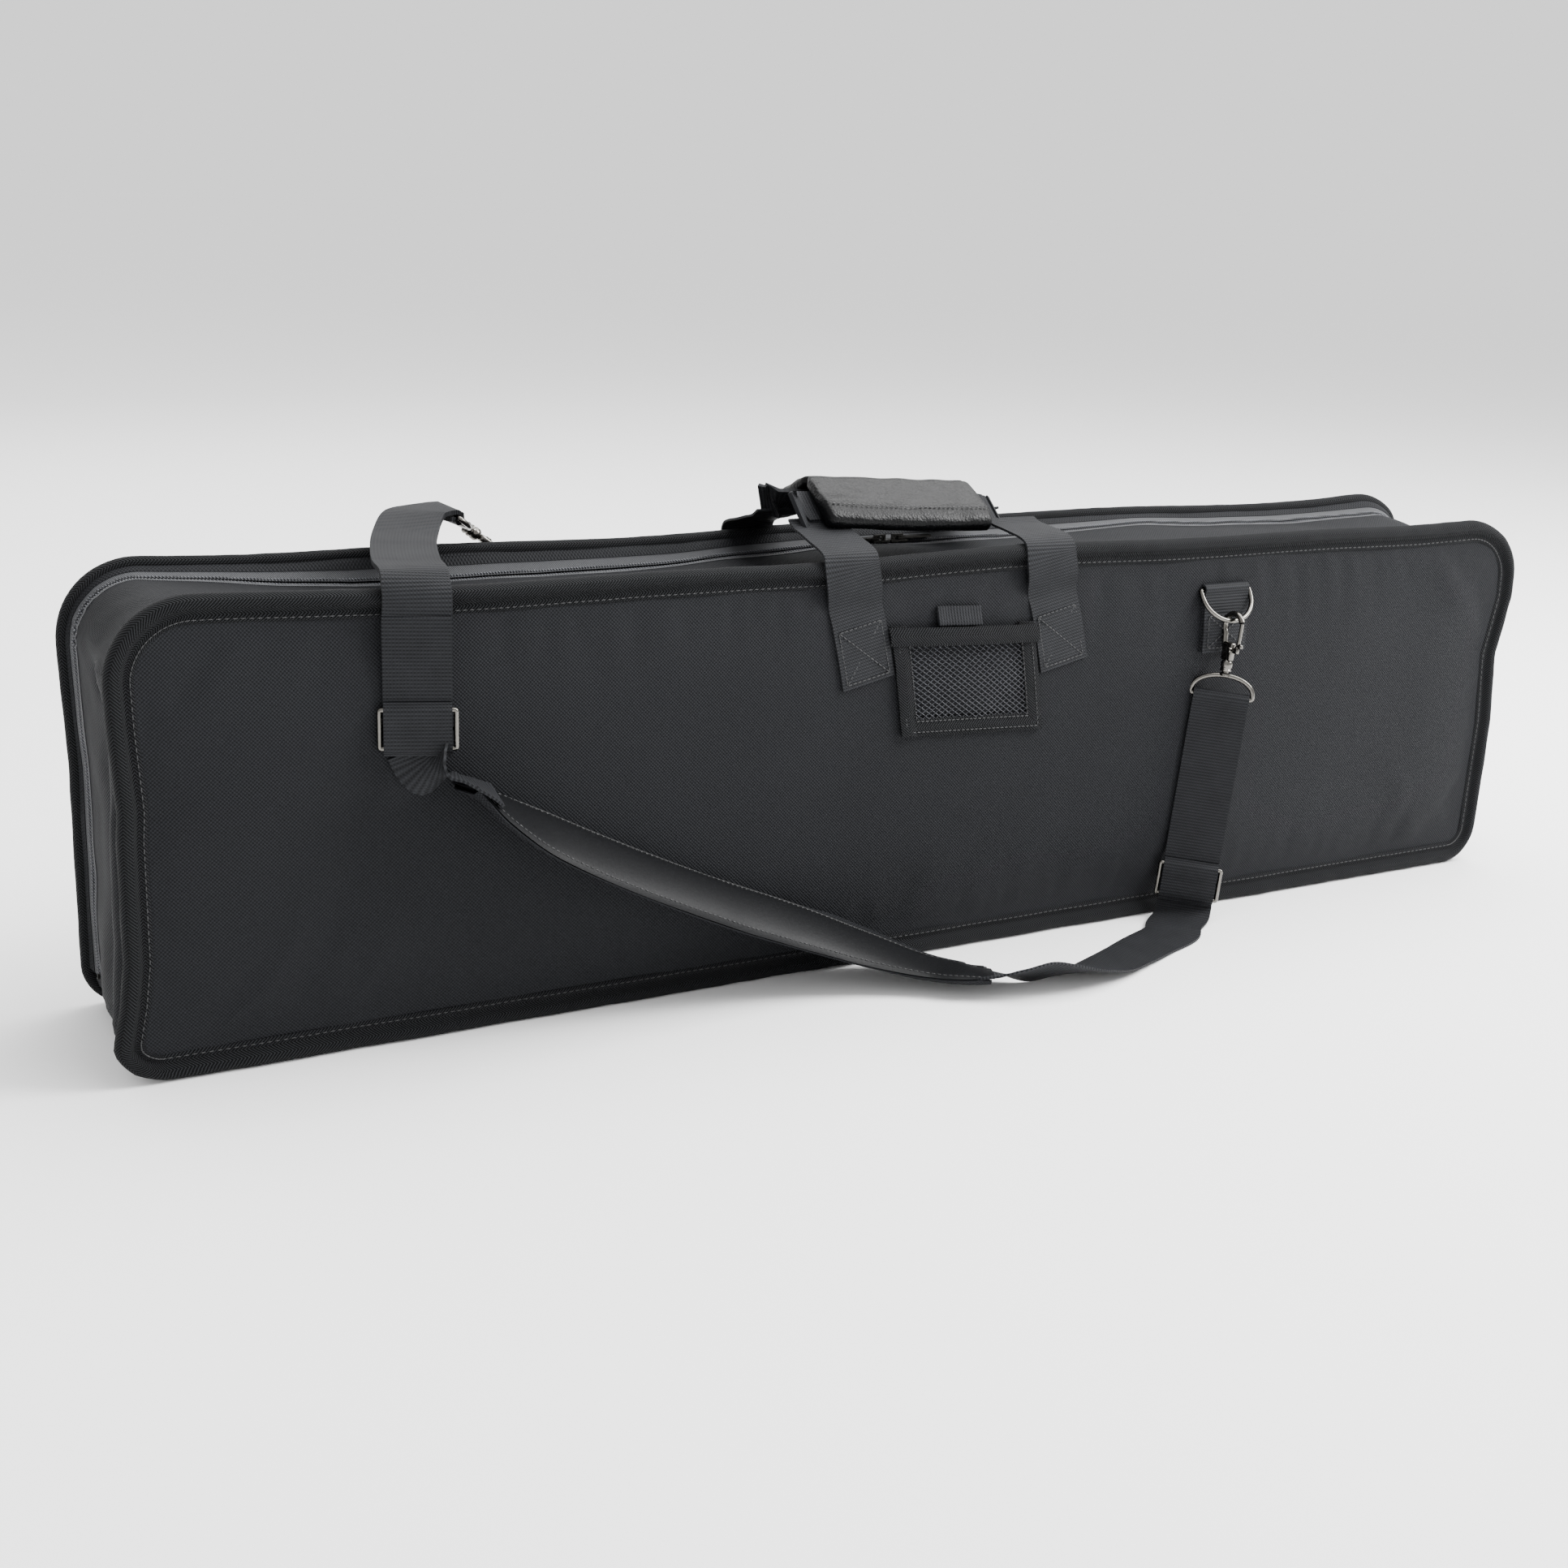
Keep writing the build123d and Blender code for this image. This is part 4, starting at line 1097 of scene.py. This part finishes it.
ringY = shape["faceY"] + metal["standoff"]
x, z, _ = metal["tabFront"]
obj = placed(wire("ringFront", ringPoints(metal["ringDepth"]), metal["wire"], closed=True),
             Matrix.Translation((x, -ringY, z)) @ Matrix.Rotation(deg(-metal["leanFront"]), 4, "X"))
finishPiece(obj, blackNickel, "ring_front", ["d_ring_front"])
x, z, _ = metal["tabRear"]
obj = placed(wire("ringRear", ringPoints(metal["ringDepth"]), metal["wire"], closed=True),
             Matrix.Translation((x, ringY, z)) @ Matrix.Rotation(deg(180 - metal["leanRear"]), 4, "X"))
finishPiece(obj, blackNickel, "ring_rear", ["d_ring_rear"])


def makeHook(name):
    barrel = turned("barrel", [(0.0030, 0.0001), (0.0039, 0.0005), (0.0041, 0.0014), (0.0036, 0.0020),
                               (0.0036, 0.0028),
                               (0.0041, 0.0036), (0.0041, 0.0062), (0.0034, 0.0074), (0.0026, 0.0082)])
    edit(barrel, ("fill_holes", {"sides": 64}))
    arch = wire("eye", [(0, 0.0040, 0.0150), (0, 0.0060, 0.0195)] + [(0, 0.0086 * math.cos(deg(-40 + k * 15)),
                0.0315 + 0.0086 * math.sin(deg(-40 + k * 15))) for k in range(0, 14)], 0.0021, sides=8)
    neck = bar("neck", (0.0046, 0.0098, 0.0130), (0, 0.0006, 0.0140), 0.0016, 4)
    rivet = turned("rivet", [(0.0018, -0.0034), (0.0021, -0.0030), (0.0021, 0.0030), (0.0018, 0.0034)],
                   axis="X",
                   place=(0, -0.0022, 0.0155))
    edit(rivet, ("fill_holes", {"sides": 64}))
    return joinAll(name, [barrel, arch, neck, rivet])


def makeGate(name):
    lever = wire("lever", [(0, -0.0040, 0.0150), (0, -0.0068, 0.0170), (0, -0.0080, 0.0200),
                           (0, -0.0081, 0.0260),
                           (0, -0.0080, 0.0345)], 0.0014, sides=8)
    thumb = bar("thumb", (0.0030, 0.0040, 0.0030), (0, -0.0099, 0.0192), 0.0010, 3)
    foot = bar("foot", (0.0030, 0.0050, 0.0042), (0, -0.0066, 0.0155), 0.0012, 3)
    return joinAll(name, [lever, thumb, foot])


lean = deg(metal["leanFront"])
frontPlace = (Matrix.Translation((metal["tabFront"][0], -ringY - metal["ringDepth"] * math.sin(lean),
                                  metal["tabFront"][1] - metal["ringDepth"] * math.cos(lean)))
              @ Matrix.Rotation(deg(metal["riserLean"]), 4, "Y") @ Matrix.Translation((0, 0, -0.0351)))
swivelFront = frontPlace.translation
lean = deg(metal["leanRear"])
swivelRear = Vector((metal["tabRear"][0] - 0.017 - 0.8 * 0.0351, ringY + 0.0155 * math.sin(lean) + 0.001,
                     metal["tabRear"][1] + 0.0155 * math.cos(lean) + 0.6 * 0.0351))
zDir, xDir = Vector((0.8, 0, -0.6)), Vector((0.6, 0, 0.8))
rearPlace = Matrix((xDir, zDir.cross(xDir), zDir)).transposed().to_4x4()
rearPlace.translation = swivelRear
frontTurn = frontPlace @ Matrix.Rotation(deg(-metal["riserTurn"]), 4, "Z")
rearTurn = rearPlace @ Matrix.Rotation(deg(90), 4, "Z")
riserDrop = (metal["riserLow"] - swivelFront.z) / math.cos(deg(metal["riserLean"]))
glideFrontPlace = frontTurn @ Matrix.Translation((0, 0, riserDrop + 0.0135))
glideRearPlace = Matrix.Translation((-0.348, -0.0735, 0.190)) @ Matrix.Rotation(deg(-20), 4, "Z")
for name, place, body, gateBody in (("Front", frontPlace, "case", "gate_front"),
                                    ("Rear", rearPlace, "back_panel", "gate_rear")):
    low = name.lower()
    finishPiece(placed(makeHook("hook" + name), place), blackNickel, body, ["snap_hook_" + low])
    finishPiece(placed(makeGate("gate" + name), place), blackNickel, gateBody, ["hook_gate_" + low])


def makeLoop(name):
    # swivel stud with its D-shaped strap loop
    drop = metal["loopDepth"] + 0.0026
    ring = wire("loop", [(x, 0, -drop - z) for x, _, z in ringPoints(metal["loopDepth"])], metal["wire"],
                closed=True)
    stud = turned("stud", [(0.0036, -0.0030), (0.0040, -0.0022), (0.0038, -0.0012), (0.0022, -0.0007),
                           (0.0019, 0.0040),
                           (0.0015, 0.0050)])
    edit(stud, ("fill_holes", {"sides": 64}))
    return joinAll(name, [ring, stud])


finishPiece(placed(makeLoop("loopFront"), frontTurn), blackNickel, "swivel_front", ["strap_loop_front"])
finishPiece(placed(makeLoop("loopRear"), rearTurn), blackNickel, "back_panel", ["strap_loop_rear"])


def makeGlide(name):
    # three-bar glide: rounded frame before the strap with its middle bar between the layers
    front, half, reach = -0.0039, 0.0209, 0.0110
    corner = 0.0022
    points = [(-half, front, 0), (-half, front, reach - corner), (-half, front, reach),
              (-half + corner, front, reach),
              (half - corner, front, reach), (half, front, reach), (half, front, reach - corner),
              (half, front, 0),
              (half, front, -reach + corner), (half, front, -reach), (half - corner, front, -reach),
              (-half + corner, front, -reach), (-half, front, -reach), (-half, front, -reach + corner)]
    ring = wire("outer", points, 0.0015, closed=True)
    middle = wire("middle", [(-half, front, 0), (-half + 0.0004, -0.0022, 0), (-half + 0.0018, -0.0004, 0),
                             (0, 0, 0),
                             (half - 0.0018, -0.0004, 0), (half - 0.0004, -0.0022, 0), (half, front, 0)],
                             0.0013)
    return joinAll(name, [ring, middle])


finishPiece(placed(makeGlide("glideFront"), glideFrontPlace), blackNickel, "glide_front",
            ["strap_glide_front"])
finishPiece(placed(makeGlide("glideRear"), glideRearPlace), blackNickel, "glide_rear", ["strap_glide_rear"])


def glideWrap(name, matrix):
    # the webbing runs over the glide's outer bars, so that only its side posts show
    line = [(-0.0036, 0.0152), (-0.0040, 0.0136), (-0.0054, 0.0126), (-0.0065, 0.0106), (-0.0068, 0.0050),
            (-0.0064, 0.0)]
    line += [(y, -z) for y, z in line[-2::-1]]
    stations = [(tuple(matrix @ Vector((0, y, z))), tuple(matrix.to_3x3() @ Vector((1, 0, 0)))) for y,
                z in line]
    return strap(name, stations, 0.0375, 0.0012, step=0.0012, rows=8)


for name, place, body in (("Front", glideFrontPlace, "glide_front"), ("Rear", glideRearPlace, "glide_rear")):
    obj = glideWrap("glideWrap" + name, place)
    finishPiece(obj, webbingCloth, body, ())


# webbing tabs that hold the rings

def makeRingTab(name, x, barZ, low, side):
    levels = [low, low + 0.014, barZ - 0.011]
    route = [(faceAt(x, z, side) + 0.0010, z) for z in levels] + [(ringY - 0.0026, barZ - 0.003)]
    back = [(ringY + 0.0034 * math.cos(deg(a)),
             barZ + 0.0034 * math.sin(deg(a))) for a in (160, 120, 80, 40, 0, -40)]
    front = [(faceAt(x, z, side) + 0.0032, z) for z in reversed(levels)]
    line = [((x, side * y, z), (1, 0, 0)) for y, z in route + back + front]
    return strap(name, line, 0.038, 0.0014, step=0.0016, rows=8)


for name, (x, barZ, low), side, body, node in (
        ("Front", metal["tabFront"], -1, "case", "ring_tab_front"),
        ("Rear", metal["tabRear"], 1, "back_panel", "ring_tab_rear")):
    obj = makeRingTab("ringTab" + name, x, barZ, low, side)
    finishPiece(obj, webbingCloth, body, [node])
    places = []
    boxStitches(places, (x, low + 0.0145), 0.0, side, 0.031, 0.022, 0.0047)
    obj = repeat("ringTabStitches" + name, stitchShape(0.0028), places)
    finishPiece(obj, threadTwist, body)
print("hardware done")


# shoulder strap: risers, floor run, link and top run

strapCut = {"width": 0.038, "thick": 0.0015, "gap": 0.0019}


def riserLine(top, low, matrix):
    # doubled webbing: up the front layer, over the bar, down the back layer
    g = strapCut["gap"]
    line = [(-g, low), (-g, low + 0.02), (-g, (low + top) / 2), (-g, top - 0.012), (-0.0030, top - 0.0045)]
    line += [(0.0034 * math.cos(deg(a)), top + 0.0034 * math.sin(deg(a))) for a in (180, 140, 100, 60, 20, 0)]
    line += [(0.0030, top - 0.0045), (g, top - 0.012), (g, (low + top) / 2), (g, low + 0.02), (g, low)]
    return [(tuple(matrix @ Vector((0, y, z))), tuple(matrix.to_3x3() @ Vector((1, 0, 0)))) for y, z in line]


obj = strap("riserFront", riserLine(-0.0176, riserDrop, frontTurn), strapCut["width"], strapCut["thick"],
            step=0.003, wave=0.0005)
finishPiece(obj, webbingCloth, "swivel_front", ["strap_riser_front"])

c, s = math.cos(deg(metal["riserTurn"])), math.sin(deg(metal["riserTurn"]))
sx, sy, _ = frontTurn @ Vector((0, 0, riserDrop))
floorStations = [
    ((sx, sy, 0.0150), (c, -s, 0)), ((sx - 0.0015, sy - 0.0015, 0.0090), (0.76, -0.65, 0)),
    ((sx - 0.007, sy - 0.006, 0.0035), (0.66, -0.75, 0)),
    ((sx - 0.021, sy - 0.015, 0.0014), (0.52, -0.85, 0)),
    ((0.178, -0.107, 0.0012), (0.47, -0.88, 0)), ((0.150, -0.118, 0.0012), (0.46, -0.89, 0.02)),
    ((0.120, -0.131, 0.0016), (0.42, -0.90, 0.06)), ((0.095, -0.142, 0.0030), (0.38, -0.92, 0.10)),
    ((0.072, -0.1495, 0.0062), (0.28, -0.93, 0.28)), ((0.050, -0.1530, 0.0100), (0.15, -0.86, 0.50)),
    ((0.034, -0.1520, 0.0125), (0.0, -0.80, 0.60)), ((0.020, -0.1490, 0.0122), (-0.15, -0.86, 0.48)),
    ((0.008, -0.1425, 0.0112), (-0.32, -0.88, 0.30)), ((-0.006, -0.1330, 0.0108), (-0.44, -0.88, 0.16))]
obj = strap("floorRun", floorStations, strapCut["width"], strapCut["thick"], step=0.003, rows=8, wave=0.0004)
finishPiece(obj, webbingCloth, ("swivel_front", "case", (sx, sy, 0.010), (sx - 0.065, sy - 0.038, 0.001)),
            ["strap_floor_run"])

riserPlace = Matrix.Translation((-0.348, -0.0735, 0)) @ Matrix.Rotation(deg(-20), 4, "Z")
g = strapCut["gap"]
line = [(-g, 0.176), (-g, 0.190), (-g, 0.215), (-g, 0.240), (-g * 0.9, 0.2525)]
stations = [(tuple(riserPlace @ Vector((0, y, z))), tuple(riserPlace.to_3x3() @ Vector((1, 0, 0)))) for y,
            z in line]
front = strap("riserRearFront", stations, strapCut["width"], strapCut["thick"], step=0.003, wave=0.0006)
stations = [(tuple(riserPlace @ Vector((0, -y, z))), tuple(riserPlace.to_3x3() @ Vector((1, 0, 0)))) for y,
            z in line]
back = strap("riserRearBack", stations, strapCut["width"], strapCut["thick"], step=0.003, wave=0.0006)
obj = joinAll("riserRear", [front, back])
finishPiece(obj, webbingCloth, "case", ["strap_riser_rear"])

linkStations = [((-0.348, -0.0735, 0.1785), (0.94, -0.34, 0)), ((-0.3450, -0.0760, 0.1705), (0.86, -0.50, 0)),
                ((-0.3385, -0.0813, 0.1655), (0.70, -0.70, -0.08)),
                ((-0.3284, -0.0860, 0.1622), (0.52, -0.84, -0.16)),
                ((-0.3180, -0.0892, 0.1572), (0.38, -0.87, -0.25)),
                ((-0.3080, -0.0905, 0.1510), (0.27, -0.89, -0.33))]
obj = strap("strapLink", linkStations, 0.036, 0.0015, step=0.0025, wave=0.0004)
finishPiece(obj, webbingCloth, "case", ["strap_link"])

barRear = rearTurn @ Vector((0, 0, -metal["loopDepth"] - 0.0026))
rx, ry = -0.348, -0.0735
topStations = [
    ((rx, ry, 0.2500), (math.cos(deg(20)), -math.sin(deg(20)), 0)),
    ((rx + 0.0005, ry + 0.0002, 0.258), (0.96, -0.26, 0)),
    ((rx + 0.001, ry + 0.002, 0.2660), (0.975, -0.18, 0)), ((rx + 0.002, ry + 0.0080, 0.2735), (1, -0.05, 0)),
    ((rx + 0.004, ry + 0.0180, 0.2762), (1, -0.08, 0)), ((rx + 0.007, ry + 0.036, 0.2768), (0.99, -0.14, 0)),
    ((rx + 0.018, ry + 0.072, 0.2785), (0.94, -0.34, 0)),
    ((rx + 0.031, ry + 0.105, 0.2810), (0.91, -0.41, 0)),
    ((barRear.x - 0.027, barRear.y - 0.015, barRear.z + 0.0022), (0.74, -0.67, 0)),
    ((barRear.x - 0.014, barRear.y - 0.004, barRear.z + 0.0030), (0.42, -0.91, 0)),
    ((barRear.x - 0.002, barRear.y, barRear.z + 0.0034), (0, -1, 0))]
roll = [((barRear.x + 0.0034 * math.cos(deg(a)), barRear.y, barRear.z + 0.0034 * math.sin(deg(a))),
         (0, -1, 0))
        for a in (60, 20, -20, -60, -100)]
roll += [((barRear.x - 0.006, barRear.y - 0.001, barRear.z - 0.0012), (0.1, -1, 0)),
         ((barRear.x - 0.013, barRear.y - 0.004, barRear.z - 0.0004), (0.42, -0.91, 0))]
obj = strap("topRun", topStations + roll, strapCut["width"], 0.0028, step=0.003, rows=8, wave=0.0008)
finishPiece(obj, webbingCloth, ("case", "back_panel", (-0.306, 0.030, 0.281), (-0.275, 0.060, 0.281)),
            ["strap_over_top", "strap_end_rear"])


# shoulder pad: smooth face over foam on a woven backing, seam along its edges

pad = {"width": 0.044, "rows": 22, "half": 0.0030, "weltRadius": 0.0011}
padRoute = [((0.006, -0.1400, 0.0112), (-0.42, -0.87, 0.20)),
            ((-0.010, -0.1300, 0.0112), (-0.46, -0.87, 0.14)),
            ((-0.028, -0.1140, 0.0130), (-0.50, -0.86, 0.05)),
            ((-0.062, -0.0985, 0.0250), (-0.30, -0.93, -0.20)),
            ((-0.105, -0.0900, 0.0430), (-0.10, -0.91, -0.40)),
            ((-0.150, -0.0880, 0.0620), (0.0, -0.88, -0.47)),
            ((-0.190, -0.0880, 0.0805), (0.0, -0.88, -0.47)),
            ((-0.235, -0.0880, 0.1025), (0.02, -0.88, -0.47)),
            ((-0.275, -0.0880, 0.1240), (0.08, -0.88, -0.45)),
            ((-0.305, -0.0878, 0.1430), (0.25, -0.90, -0.35)),
            ((-0.3255, -0.0855, 0.1582), (0.48, -0.85, -0.20))]
padLine, padLength = smoothLine([list(c) + list(a) for c, a in padRoute], 0.0021)


def padFrame(u):
    i = int(round(u * (len(padLine) - 1)))
    before, after = padLine[max(i - 1, 0)], padLine[min(i + 1, len(padLine) - 1)]
    along = Vector(after[:3] - before[:3]).normalized()
    across = Vector(padLine[i][3:6])
    across = (across - along * across.dot(along)).normalized()
    return Vector(padLine[i][:3]), along, across, along.cross(across)


def padSpot(u, s, lift):
    # s from -1 to 1 across the pad, lift above its middle
    centre, _, across, face = padFrame(u)
    end = min(u * padLength / 0.030, (1 - u) * padLength / 0.030, 1.0)
    half = pad["width"] / 2 * (0.86 + 0.14 * ease(end))
    return centre + across * (s * half) + face * lift


def makePad():
    loops = 2 * pad["rows"]

    def place(u, v):
        k = int(round(v * loops)) % loops
        top = k <= pad["rows"]
        s = (k / pad["rows"] if top else (loops - k) / pad["rows"]) * 2 - 1
        end = ease(min(u, 1 - u) * padLength / 0.022)
        thick = pad["half"] * (0.30 + 0.70 * end) * (1 - abs(s) ** 5) ** 0.5 * (0.75 + 0.25 * (1 - s * s))
        thick = max(thick, 0.0004)
        soft = 0.0005 * ripple(u * padLength, s * 0.01, 7.0, 0.03)
        sag = 0.0035 * math.sin(math.pi * u) * (s * s - 0.4)
        return padSpot(u, s, (thick if top else -thick) + soft - sag)

    obj = clothGrid("shoulderPad", len(padLine) - 1, loops, place, (padLength, 2 * pad["width"]))
    closeSeams(obj)
    edit(obj, ("fill_holes", {"sides": 200}), ("normals_make_consistent", {"inside": False}))
    return obj


padBody = makePad()
padUp = padFrame(0.55)[3]
smooth(padBody, 70)
finishPiece(padBody, padLeather, "case", ["shoulder_pad_face", "shoulder_pad_core", "shoulder_pad_backing"])


def padBacking(u, v):
    # woven backing: under the pad, and past the welt on the far edge as a strip that widens to the right
    s = 1.0 - v * (2.22 + 0.22 * (1 - u))
    sag = 0.0035 * math.sin(math.pi * u) * (min(s * s, 1.0) - 0.4)
    edge = ease((abs(s) - 0.80) / 0.2)
    return padSpot(0.004 + 0.992 * u, s, -0.0036 * (1 - edge) - 0.0006 * edge - sag)


def padWelt():
    points = []
    for u in np.linspace(0.012, 0.988, 70):
        sag = 0.0035 * math.sin(math.pi * u) * 0.6
        points.append(tuple(padSpot(u, -1.0, 0.0006 - sag)))
    return wire("padWelt", points, pad["weltRadius"])


finishPiece(padWelt(), padLeather, "case")
obj = clothGrid("padBacking", 150, 12, padBacking, (padLength, pad["width"]))
modify(obj, "SOLIDIFY", thickness=0.0008, offset=0)
smooth(obj, 60)
finishPiece(obj, shellWrap, "case", ())
places = []
for s in (-0.84, 0.86):
    line = []
    for u in np.linspace(0.02, 0.98, 60):
        sag = 0.0035 * math.sin(math.pi * u) * (s * s - 0.4)
        end = ease(min(u, 1 - u) * padLength / 0.022)
        thick = pad["half"] * (0.30 + 0.70 * end) * (1 - abs(s) ** 5) ** 0.5 * (0.75 + 0.25 * (1 - s * s))
        line.append(tuple(padSpot(u, s,
                                  thick + 0.0005 * ripple(u * padLength, s * 0.01, 7.0,
                                                          0.03) - sag + 0.0001)))
    stitchRun(places, line, tuple(padUp), 0.0036)
obj = repeat("padStitches", stitchShape(0.0028), places)
finishPiece(obj, threadTwist, "case")
print("strap done")


# finishes for the frame's own parts that stay

for node in ("zip_slider_left", "zip_slider_right", "zip_pull_left", "zip_pull_right", "zip_end_stops"):
    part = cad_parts[node]
    for slotPlace in part.material_slots:
        slotPlace.material = blackNickel


# floor, light and camera

deselect()
bpy.ops.mesh.primitive_plane_add(size=60, location=(0, 0, -0.0002))
floor = bpy.context.object
floor.name = "floor"
paper, _, paperShader = newMaterial("Paper sweep, matt", 0.95, Specular_IOR_Level=0.1)
paperShader.inputs["Base Color"].default_value = linear("#ffffff")
floor.data.materials.append(paper)

world = bpy.data.worlds.new("studio")
bpy.context.scene.world = world
world.use_nodes = True
world.node_tree.nodes["Background"].inputs[0].default_value = linear("#ffffff")
world.node_tree.nodes["Background"].inputs[1].default_value = 1.3

lamps = {
    "softTop": ((0.9, 0.1, 2.4), (0.15, 0, 0.1), 2.6, 150),
    "softRight": ((1.6, -0.9, 1.5), (0.5, 0, 0.2), 0.9, 80),
    "rim": ((-0.6, 2.2, 1.6), (0, 0, 0.2), 1.8, 18),
}
for name, (spot, aim, size, power) in lamps.items():
    deselect()
    bpy.ops.object.light_add(type="AREA", location=spot)
    lamp = bpy.context.object
    lamp.name = name
    lamp.data.size = size
    lamp.data.energy = power
    lamp.rotation_euler = (Vector(aim) - Vector(spot)).to_track_quat("-Z", "Y").to_euler()

deselect()
bpy.ops.object.camera_add(location=(-0.7223, -1.1354, 0.4873))
camera = bpy.context.object
right = Vector((0.87213, -0.48793, 0.03626))
up = Vector((0.10597, 0.26072, 0.95958))
away = Vector((-0.47766, -0.83304, 0.27908))
camera.rotation_euler = Matrix((right, up, away)).transposed().to_euler()
camera.data.lens = 47.55
camera.data.sensor_width = 36
bpy.context.scene.camera = camera
print("studio done")
